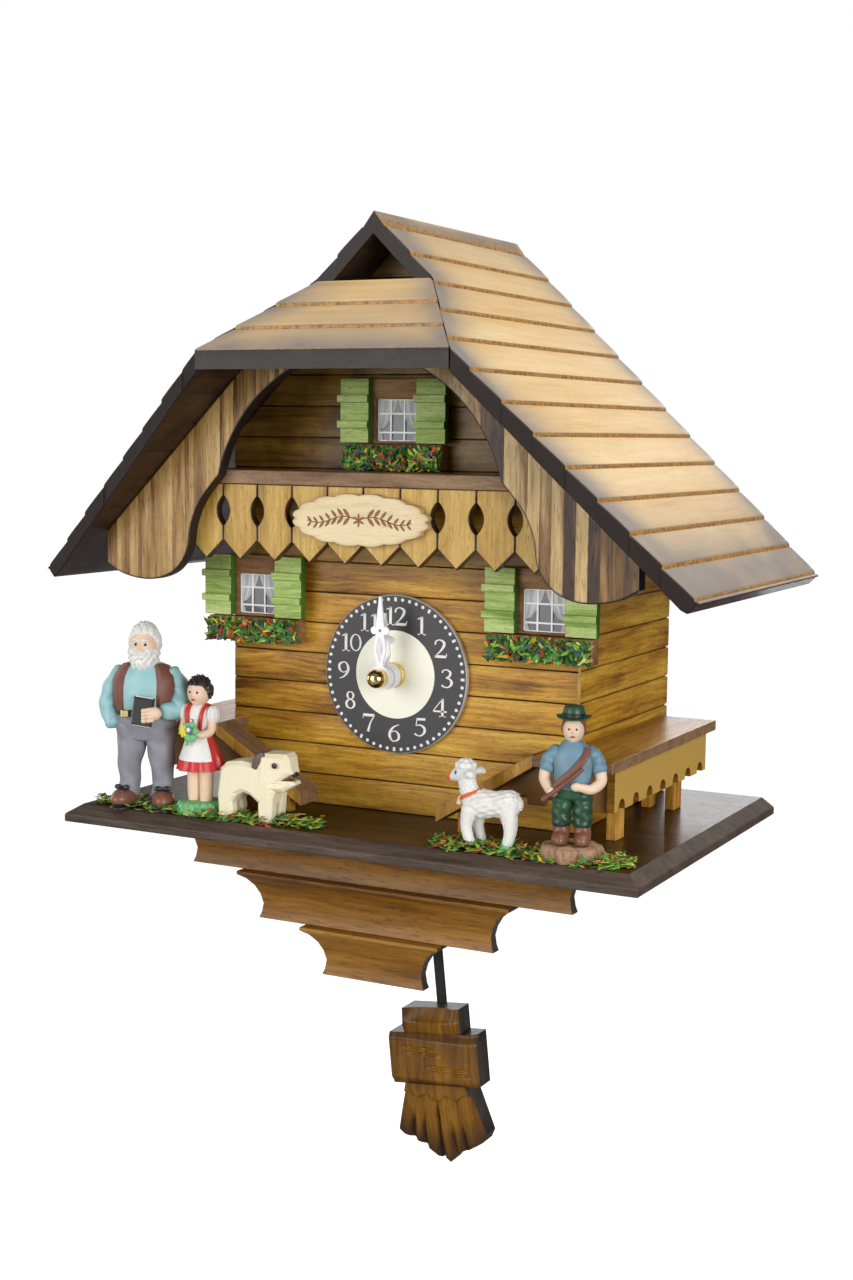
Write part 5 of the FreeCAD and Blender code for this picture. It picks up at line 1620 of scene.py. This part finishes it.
skirt_path = [(0.3, 0.2, 14.6), (0.2, 0.1, 18.5), (0, 0, 23.5), (0, 0, 27.6)]
skirt = skin(skirt_path, [8.2, 6.9, 4.9, 3.4], [6.8, 5.8, 4.3, 3.1], dome=0.06, rings=30, around=72,
             form=pleats)
straps = [skin([(s * 1.9, -3.2, 27.2), (s * 2.5, -3.9, 30.5), (s * 2.9, -3.1, 34.2), (s * 2.9, 0.2, 35.9),
                (s * 2.6, 2.8, 33.0),
                (s * 2.0, 3.1, 28)], [0.75] * 6, [0.45] * 6, rings=30, around=12) for s in (-1, 1)]
person_piece("skirt", "girl", [skirt] + straps, SCARLET, spot)
apron = skin([(0.2, 0.1, 18.0), (0.2, 0, 20.5), (0, 0, 24.0), (0, 0, 27.9)], [7.15, 6.3, 4.9, 3.5],
             [6.0, 5.4, 4.4, 3.2], dome=0.05,
             rings=30, around=80, form=front_opening(1.05, 1.05, 0.88))
blouse = skin([(0, 0, 27.2), (0, -0.2, 30.5), (0, 0, 33.6), (0, 0.2, 35.4)], [3.4, 4.3, 4.6, 2.6],
              [3.1, 3.6, 3.2, 2.2], dome=0.4,
              form=folds(2.0, 0.02))
puffs = [lump((s * 5.0, -0.3, 32.6), (2.2, 2.3, 2.9),
              lambda w: 1 + 0.05 * np.sin(12 * np.arctan2(w[..., 1], w[..., 0])))
         for s in (-1, 1)]
person_piece("blouse", "girl", [apron, blouse] + puffs, SNOW, spot)
leaves = [lump((0.3 + 1.9 * math.cos(a), -6.6, 27.6 + 2.3 * math.sin(a)), (1.5, 0.7, 1.2), rows=10,
               columns=14)
          for a in (0.2, 1.3, 2.4, 3.6, 4.4, 5.3)]
stems = [skin([(-0.6, -6.0, 26.5), (-1.0, -6.4, 23.2)], [0.9, 0.6], [0.7, 0.5], rings=8, around=10)]
petal = lambda w: 1 + 0.16 * np.cos(7 * np.arctan2(w[..., 2], w[..., 0]))
person_piece("leaves", "girl", leaves + stems, MOSS, spot)
person_piece("yellow_flower", "girl", [lump((-1.9, -7.2, 27.8), (1.6, 0.8, 1.9), petal)], SUN, spot)
person_piece("blue_flower", "girl",
             [lump((0.5, -7.5, 28.4), (1.25, 0.7, 1.25), petal),
              lump((1.0, -6.6, 31.2), (0.8, 0.5, 0.7), petal)], SKY, spot)
person_piece("white_flower", "girl",
             [lump((0.5, -7.95, 28.5), (0.75, 0.5, 0.75)), lump((0.9, -6.95, 31.3), (0.5, 0.4, 0.4))], SNOW,
             spot)

# %% Shepherd
spot = (75.0, -30.5, 0.30)
log = level_mound(9.2, 4.3, lambda t,
                  h: 1 + 0.05 * np.sin(7 * t + 1) + 0.025 * np.sin(23 * t + 3 * h) + 0.015 * np.sin(51 * t))
log["slots"] = [np.where(np.arange(len(log["faces"][0])) < 96 * 15, 0, 1), np.array([0]), np.array([1])]
make("shepherd_log", stand([log], spot), [BARK, LOG_TOP], replaces=("shepherd",))
boots = []
for s in (-1, 1):
    form = level_below(0.4)
    boots.append(lump((s * 3.3, -1.8, 6.0), (2.6, 4.0, 2.6), form))
    boots.append(skin([(s * 3.2, 0, 5.8), (s * 3.1, 0, 10.6)], [2.5, 2.5], [2.6, 2.6], rings=12,
                      form=folds(2, 0.06)))
person_piece("boots", "shepherd", boots, BOOT, spot)
legs = [skin([(s * 3.1, 0, 10.6), (s * 3.1, -0.2, 14), (s * 2.8, 0, 18), (s * 2.3, 0, 21.5)],
             [2.9, 2.9, 3.1, 3.2], [3.0, 3.0, 3.2, 3.4],
             rings=36, around=32, form=folds(4.2, 0.09, s)) for s in (-1, 1)]
seat = skin([(0, 0, 18.6), (0, 0, 22.4)], [4.6, 5.1], [3.6, 3.9], dome=0.4, rings=10)
person_piece("trousers", "shepherd", legs + [seat], FOREST, spot)
torso = skin([(0, 0, 21.4), (0, -0.3, 26), (0, 0, 31.2), (0, 0.3, 34.4)], [5.1, 5.6, 6.2, 3.6],
             [3.9, 4.3, 4.0, 2.7], dome=0.35, form=folds(2.2, 0.02))
sleeves = [skin([(s * 4.6, 0.1, 32.2), (s * 6.8, 0.2, 29.8), (s * 7.7, 0.1, 26.6)], [2.1, 2.3, 2.3],
                [2.4, 2.5, 2.3], rings=24,
                form=folds(3, 0.07)) for s in (-1, 1)]
person_piece("shirt", "shepherd",
             [torso] + sleeves + [skin([(0, 0, 34.2), (0, -0.1, 35.6)], [2.5, 2.2], [2.4, 2.1], rings=5,
                                       dome=0.2)], SKY, spot)
arms = [skin([(-7.9, 0.1, 27.2), (-8.3, -0.9, 23.6), (-6.4, -3.6, 20.8)], [1.8, 1.6, 1.4], [1.8, 1.6, 1.3],
             rings=14),
        skin([(7.8, 0.1, 27.2), (8.3, -1.0, 23.4), (5.8, -4.0, 21.6), (2.6, -5.0, 22.2)],
             [1.8, 1.7, 1.5, 1.2], [1.8, 1.7, 1.5, 1.2], rings=20),
        lump((-5.6, -4.4, 20.6), (1.7, 1.4, 1.5)), lump((1.6, -5.2, 22.3), (1.7, 1.1, 1.3))]
head_at, head_size = np.array([0.0, -0.5, 38.7]), np.array([3.2, 3.4, 4.1])
neck = skin([(0, 0, 33.8), (0, -0.2, 36.4)], [1.9, 1.8], [1.9, 1.8], rings=6)
person_piece("skin", "shepherd",
             arms + [neck, lump(head_at, head_size, face_form, 40, 48)] + ears(head_at, head_size, 0.26),
             FLESH, spot)
person_piece("eyes", "shepherd", eyes(head_at, head_size), INKY, spot)
person_piece("lips", "shepherd",
             [lump(head_at + head_size * (0, -0.97, -0.46), (0.75, 0.3, 0.28), rows=8, columns=14)], MAROON,
             spot)
person_piece("hair", "shepherd",
             [lump(head_at + (0, 0.3, 0.3), head_size * (1.04, 1.04, 1.04),
                   hair_form(0.60, -0.40, 0.11, 0.03, 2.0), 56, 72)],
             BOOT, spot)
strap = skin([(4.6, -2.6, 33.4), (3.4, -4.5, 30.4), (0.2, -5.0, 26.6), (-3.2, -5.0, 23.4),
              (-5.4, -4.6, 20.9)], [1.0, 1.1, 1.15, 1.2, 1.2],
             [0.5, 0.5, 0.55, 0.6, 0.6], rings=26, around=14)
staff = skin([(-8.2, -5.4, 18.2), (-3.0, -5.8, 22.2), (3.2, -5.5, 27.6)], [0.8, 0.75, 0.6], [0.8, 0.75, 0.6],
             rings=16, around=12,
             form=lambda h, t: 1 + 0.08 * np.sin(21 * h + t))
person_piece("strap", "shepherd", [strap, staff], MAROON, spot)


def hat_brim():
    """Round brim: a lathe profile whose rim lifts at the sides."""
    turn = np.linspace(0, 2 * np.pi, 48, endpoint=False)
    reach, level = np.array([1.5, 3.4, 4.6, 5.15, 5.2, 4.7, 3.4, 1.5]), np.array([0.0, -0.15, -0.25, -0.1,
                                                                                  0.25, 0.35, 0.55, 0.75])
    lift = 0.35 * np.cos(2 * turn) * (reach[:, None] / 5.2) ** 2
    return lofted(np.stack([reach[:, None] * np.cos(turn), reach[:, None] * np.sin(turn) - 0.4,
                            42.2 + level[:, None] + lift], -1))


def hat_crown():
    """Soft crown with a dent along the middle of its top."""
    turn = np.linspace(0, 2 * np.pi, 48, endpoint=False)
    reach, level = np.array([3.45, 3.4, 3.2, 3.0, 2.7, 2.1, 1.2, 0.3]), np.array([0.0, 0.9, 2.0, 2.8, 3.25,
                                                                                  3.35, 3.15, 3.05])
    ring = np.stack([reach[:, None] * np.cos(turn), reach[:, None] * np.sin(turn) * 1.05 - 0.4,
                     42.3 + level[:, None] + 0 * turn], -1)
    return lofted(ring)


band = plate(circle(0, -0.4, 3.55, 40, 3.7), 42.7, 43.6, ease=0.15, axes="xyz")
person_piece("hat", "shepherd", [hat_brim(), hat_crown()], FOREST, spot)
person_piece("hat_band", "shepherd", [band], INKY, spot)

# %% [markdown]
# ## Animals
# The dog is whittled from pale limewood, so its limbs keep few flat facets and are shaded flat.
# The lamb is cast and combed, with curls on its head and a painted collar.

# %% Dog
spot = (-33.0, -31.5, 0.0)
TRUNK = [(-8.0, 5.6), (-6.4, 8.0), (-4.0, 9.2), (-1.2, 8.4), (2.0, 6.0), (6.8, 6.2), (7.8, 10.0), (7.0, 14.0),
         (3.0, 18.2), (0.0, 18.8), (-5.0, 19.3), (-10.2, 18.5), (-12.6, 16.2), (-13.3, 10.5), (-13.0, 5.8)]
FORE_LEG = [(2.3, 0.0), (6.7, 0.0), (7.2, 4.0), (7.6, 9.0), (3.0, 9.5), (1.9, 5.8)]
REAR_LEG = [(-12.9, 0.0), (-8.4, 0.0), (-7.5, 3.0), (-7.9, 5.7), (-6.6, 8.0), (-8.5, 12.0), (-12.6, 12.5),
            (-13.3, 8.0)]
HEAD = [(2.2, 12.6), (5.2, 10.4), (10.6, 10.6), (14.4, 13.0), (13.8, 13.9), (9.6, 14.0), (12.2, 15.9),
        (13.6, 16.4),
        (13.0, 18.4), (12.4, 21.6), (11.2, 22.7), (3.6, 22.4), (1.2, 20.2), (0.9, 16.0)]


def narrowed(points):
    """Head narrows from the ears to the tip of the jaw."""
    share = np.interp(points[:, 0], [0, 4, 9, 14.4], [0.92, 1.08, 1.0, 0.46])
    return np.column_stack([points[:, 0], points[:, 1] * share, points[:, 2]])


carved_dog = [plate(TRUNK, -5.0, 5.0, ease=1.3, slots=(0, 0)),
              moved(plate(HEAD, -4.9, 4.9, ease=1.15, slots=(0, 0)), narrowed)]
for leg in (FORE_LEG, REAR_LEG):
    carved_dog += [plate(leg, -4.9, -1.1, ease=0.7, slots=(0, 0)),
                   plate(leg, 1.1, 4.9, ease=0.7, slots=(0, 0))]
carved_dog.append(plate([(-13.0, 15.6), (-12.0, 17.6), (-13.8, 15.0), (-14.2, 11.6), (-13.3, 11.8)], -1.2,
                        1.2, ease=0.2, slots=(0, 0)))
make("dog_body", stand(carved_dog, spot), [LIME], sharp=0, replaces=("dog",))
flaps = [skin([(4.2, s * 4.5, 22.0), (2.2, s * 5.0, 20.4), (0.8, s * 4.9, 17.6)], [0.5, 0.5, 0.4],
              [1.3, 1.6, 1.0], across=(0, 1, 0), rings=6,
              around=8) for s in (-1, 1)]
make("dog_ears", stand(flaps, spot), [DOG_EAR], sharp=0)
dots = [lump((8.4, s * 4.9, 19.0), (0.95, 0.35, 0.95), rows=8, columns=14) for s in (-1, 1)]
make("dog_nose_and_eyes", stand(dots + [lump((13.2, 0, 16.0), (1.1, 1.7, 0.9), rows=10, columns=14)], spot),
     [INKY])
tongue = skin([(8.6, 0, 14.1), (11.0, 0, 14.0), (12.8, 0, 13.9)], [3.2, 2.3, 1.4], [0.35, 0.3, 0.2],
              across=(0, 1, 0), rings=8, around=14)
make("dog_tongue", stand([tongue], spot), [BOOT])

# %% Lamb
spot = (47.5, -32.0, 0.0)


def fleece(h, t):
    """Combed fleece: fine ridges that drift along the body."""
    return 1 + 0.035 * np.sin(14 * t + 22 * h) + 0.025 * np.sin(9 * t - 31 * h)


body = skin([(-5.2, 0, 12.6), (-2.0, 0, 13.5), (3.6, 0, 13.9), (8.0, 0, 14.2), (9.6, 0, 13.9)],
            [3.0, 3.8, 3.7, 3.9, 3.1], [3.8, 4.4, 3.9, 4.3, 3.6],
            across=(0, 1, 0), rings=64, around=72, form=fleece)
neck = skin([(-3.6, 0, 13.0), (-5.6, 0, 17.6), (-6.6, 0, 21.4)], [3.2, 2.6, 2.5], [3.6, 2.9, 2.6],
            across=(0, 1, 0), rings=30, around=48, form=fleece)
head = skin([(-5.2, 0, 22.4), (-7.6, 0, 22.4), (-10.2, 0, 21.4), (-11.6, 0, 20.9)], [2.7, 2.9, 2.0, 1.2],
            [2.9, 3.0, 1.9, 1.2], across=(0, 1, 0),
            rings=28, around=40, form=lambda h, t: 1 + 0.012 * np.sin(13 * t + 9 * h))
curls = [lump((-6.8 + 2.3 * math.cos(a) * r, 2.1 * math.sin(a) * r, 24.9 + 1.5 * (1 - r)), (1.3, 1.2, 1.3),
              rows=12, columns=16)
         for a, r in [(k * 0.785, 1.0) for k in range(8)] + [(k * 1.57 + 0.5, 0.45) for k in range(4)]]
flaps = [skin([(-5.0, s * 2.6, 22.8), (-3.6, s * 3.8, 23.0), (-2.6, s * 4.3, 22.4)], [1.0, 1.3, 0.7],
              [1.1, 1.6, 0.9], across=(0, 0, 1), rings=12,
              around=18) for s in (-1, 1)]
legs = []
hooves = []
for x, s in ((-4.4, -1), (-2.6, 1), (8.2, -1), (6.8, 1)):
    knee = -0.9 if x < 0 else 0.9
    legs.append(skin([(x, s * 2.0, 12.0), (x + knee, s * 2.2, 6.8), (x + 0.1, s * 2.2, 2.6),
                      (x, s * 2.2, 1.9)], [2.2, 1.6, 1.55, 1.7],
                     [2.6, 1.8, 1.6, 1.7], across=(0, 1, 0), rings=36, around=40, form=fleece))
    hooves.append(skin([(x - 0.3, s * 2.2, 0.6), (x - 0.1, s * 2.2, 2.4)], [1.8, 1.7], [2.1, 1.8],
                       across=(0, 1, 0), rings=6, around=20, dome=0.3))
tail = [lump((10.9, 0, 14.6), (1.5, 1.3, 2.2), lambda w: 1 + 0.06 * np.sin(16 * w[..., 2]))]
make("lamb_fleece", stand([body, neck, head] + curls + flaps + legs + tail, spot), [SNOW],
     replaces=("lamb",))
make("lamb_front_hooves",
     stand(hooves[:2] + [lump((-8.9, s * 2.35, 22.7), (0.5, 0.3, 0.75), rows=8, columns=12) for s in (-1, 1)],
           spot),
     [INKY])
make("lamb_rear_hooves", stand(hooves[2:], spot), [MOSS])
make("lamb_nose", stand([lump((-12.0, 0, 21.1), (1.25, 1.35, 1.2),
                              lambda w: 1 - 0.1 * np.exp(-(w[..., 1] / 0.1) ** 2))], spot), [TOMATO])
turn = np.linspace(0, 2 * np.pi, 40, endpoint=False)
ring = [(3.05, -0.75), (3.4, -0.45), (3.45, 0.45), (3.1, 0.75), (2.2, 0.5), (2.2, -0.5)]
band = np.stack([np.stack([-5.0 + r * np.cos(turn) + 0.25 * z, 0.93 * r * np.sin(turn),
                           16.2 + z + 0.42 * r * np.cos(turn)], -1) for r, z in ring], 1)
make("lamb_collar", stand([{"points": band.reshape(-1, 3), "faces": [np.concatenate([
    grid_quads(40, 6, wrap=True), np.stack([234 + np.arange(6), 234 + (np.arange(6) + 1) % 6,
                                            (np.arange(6) + 1) % 6, np.arange(6)], -1)])]}], spot),
     [TOMATO])
make("lamb_bell", stand([skin([(-8.3, 0, 15.4), (-8.5, 0, 14.2), (-8.6, 0, 12.9)], [0.5, 0.9, 1.2],
                              [0.5, 0.9, 1.2], across=(0, 1, 0), rings=10,
                              around=20, dome=0.3)], spot), [PLAQUE_WOOD])

# %% [markdown]
# ## Studio
# A pale floor well below the clock, soft lamps all round it and a camera that looks a little down
# from the clock's right. The floor and the sky show white to the camera, but send the clock only a little
# light, so the lacquer keeps its deep colour.

# %% Light, floor and camera


def soft_light(name, place, target, size, power, warmth=(1.0, 1.0, 1.0)):
    """Large area lamp that looks at a point."""
    lamp = bpy.data.lights.new(name, "AREA")
    lamp.shape = "RECTANGLE"
    lamp.size, lamp.size_y = size
    lamp.energy = power
    lamp.color = warmth
    holder = bpy.data.objects.new(name, lamp)
    bpy.context.scene.collection.objects.link(holder)
    holder.location = place
    holder.rotation_euler = (Vector(target) - Vector(place)).to_track_quat("-Z", "Y").to_euler()


world = bpy.data.worlds.new("studio")
bpy.context.scene.world = world
world.use_nodes = True
backdrop = world.node_tree.nodes["Background"]
backdrop.inputs["Color"].default_value = (1.0, 1.0, 1.0, 1.0)
seen = world.node_tree.nodes.new("ShaderNodeLightPath").outputs["Is Camera Ray"]
world.node_tree.links.new(sums(world.node_tree, "ADD", 0.20, sums(world.node_tree, "MULTIPLY", seen, 0.8)),
                          backdrop.inputs["Strength"])
bpy.context.scene.view_settings.view_transform = "Standard"
soft_light("key", (1.25, -0.85, 0.10), (0, -0.05, -0.08), (0.8, 0.8), 14.0)
soft_light("fill", (-0.55, -1.3, 0.15), (0, -0.05, -0.10), (0.9, 0.9), 10.0)
soft_light("top", (0.65, 0.0, 1.1), (0, -0.05, -0.05), (0.7, 0.7), 11.0)
soft_light("low", (-0.2, -1.1, -0.55), (0, -0.05, -0.10), (1.0, 0.6), 1.5)
soft_light("rear", (-0.45, 1.35, 0.0), (0, 0.0, -0.10), (1.0, 1.0), 9.0)
soft_light("side", (-1.4, 0.10, 0.10), (0, -0.05, -0.10), (0.9, 0.9), 5.0)


FLOOR_LEVEL = -0.62


def studio_floor():
    """Wide round floor: rings whose radius grows outwards, level everywhere."""
    radius = np.array([0.02, 0.3, 0.9, 2.5, 6.0, 12.0])
    turn = np.linspace(0, 2 * np.pi, 64, endpoint=False)
    points = np.stack([radius[:, None] * np.cos(turn), radius[:, None] * np.sin(turn),
                       np.full((6, 64), FLOOR_LEVEL)], -1)
    mesh = bpy.data.meshes.new("studio_floor")
    mesh.from_pydata(points.reshape(-1, 3).tolist(), [],
                     grid_quads(6, 64, wrap=True).tolist() + [list(range(64))])
    floor = bpy.data.objects.new("studio_floor", mesh)
    bpy.context.scene.collection.objects.link(floor)
    material, tree, shader = fresh_material("floor_paint")
    mottle = add(tree, "TexNoise", {"Scale": 3.0}).outputs["Fac"]
    tree.links.new(ramp(tree, mottle, [(0.3, colour(0.23, 0.23, 0.23)), (0.7, colour(0.25, 0.25, 0.25))]),
                   shader.inputs["Base Color"])
    shader.inputs["Roughness"].default_value = 0.9
    shader.inputs["Emission Color"].default_value = (1.0, 1.0, 1.0, 1.0)
    glow = add(tree, "LightPath").outputs["Is Camera Ray"]
    tree.links.new(glow, shader.inputs["Emission Strength"])
    mesh.materials.append(material)


studio_floor()

CAMERA_PLACE = Vector((0.2772, -0.6006, -0.0097))
YAW, PITCH, ROLL, LENS = 0.475572, 0.113678, 0.0118631, 76.67


def aimed_camera():
    """Camera turned by yaw, then tipped down by pitch, then rolled; its lens is the long side's."""
    forward = Vector((-math.sin(YAW) * math.cos(PITCH), math.cos(YAW) * math.cos(PITCH), -math.sin(PITCH)))
    right = Vector((math.cos(YAW), math.sin(YAW), 0))
    up = right.cross(forward)
    side = right * math.cos(ROLL) + up * math.sin(ROLL)
    above = up * math.cos(ROLL) - right * math.sin(ROLL)
    data = bpy.data.cameras.new("camera")
    data.sensor_fit = "HORIZONTAL"
    data.sensor_width = 36.0
    data.lens = LENS
    data.clip_start, data.clip_end = 0.02, 50.0
    camera = bpy.data.objects.new("camera", data)
    bpy.context.scene.collection.objects.link(camera)
    turn = Matrix((side, above, -forward)).transposed().to_4x4()
    camera.matrix_world = Matrix.Translation(CAMERA_PLACE) @ turn
    bpy.context.scene.camera = camera


aimed_camera()
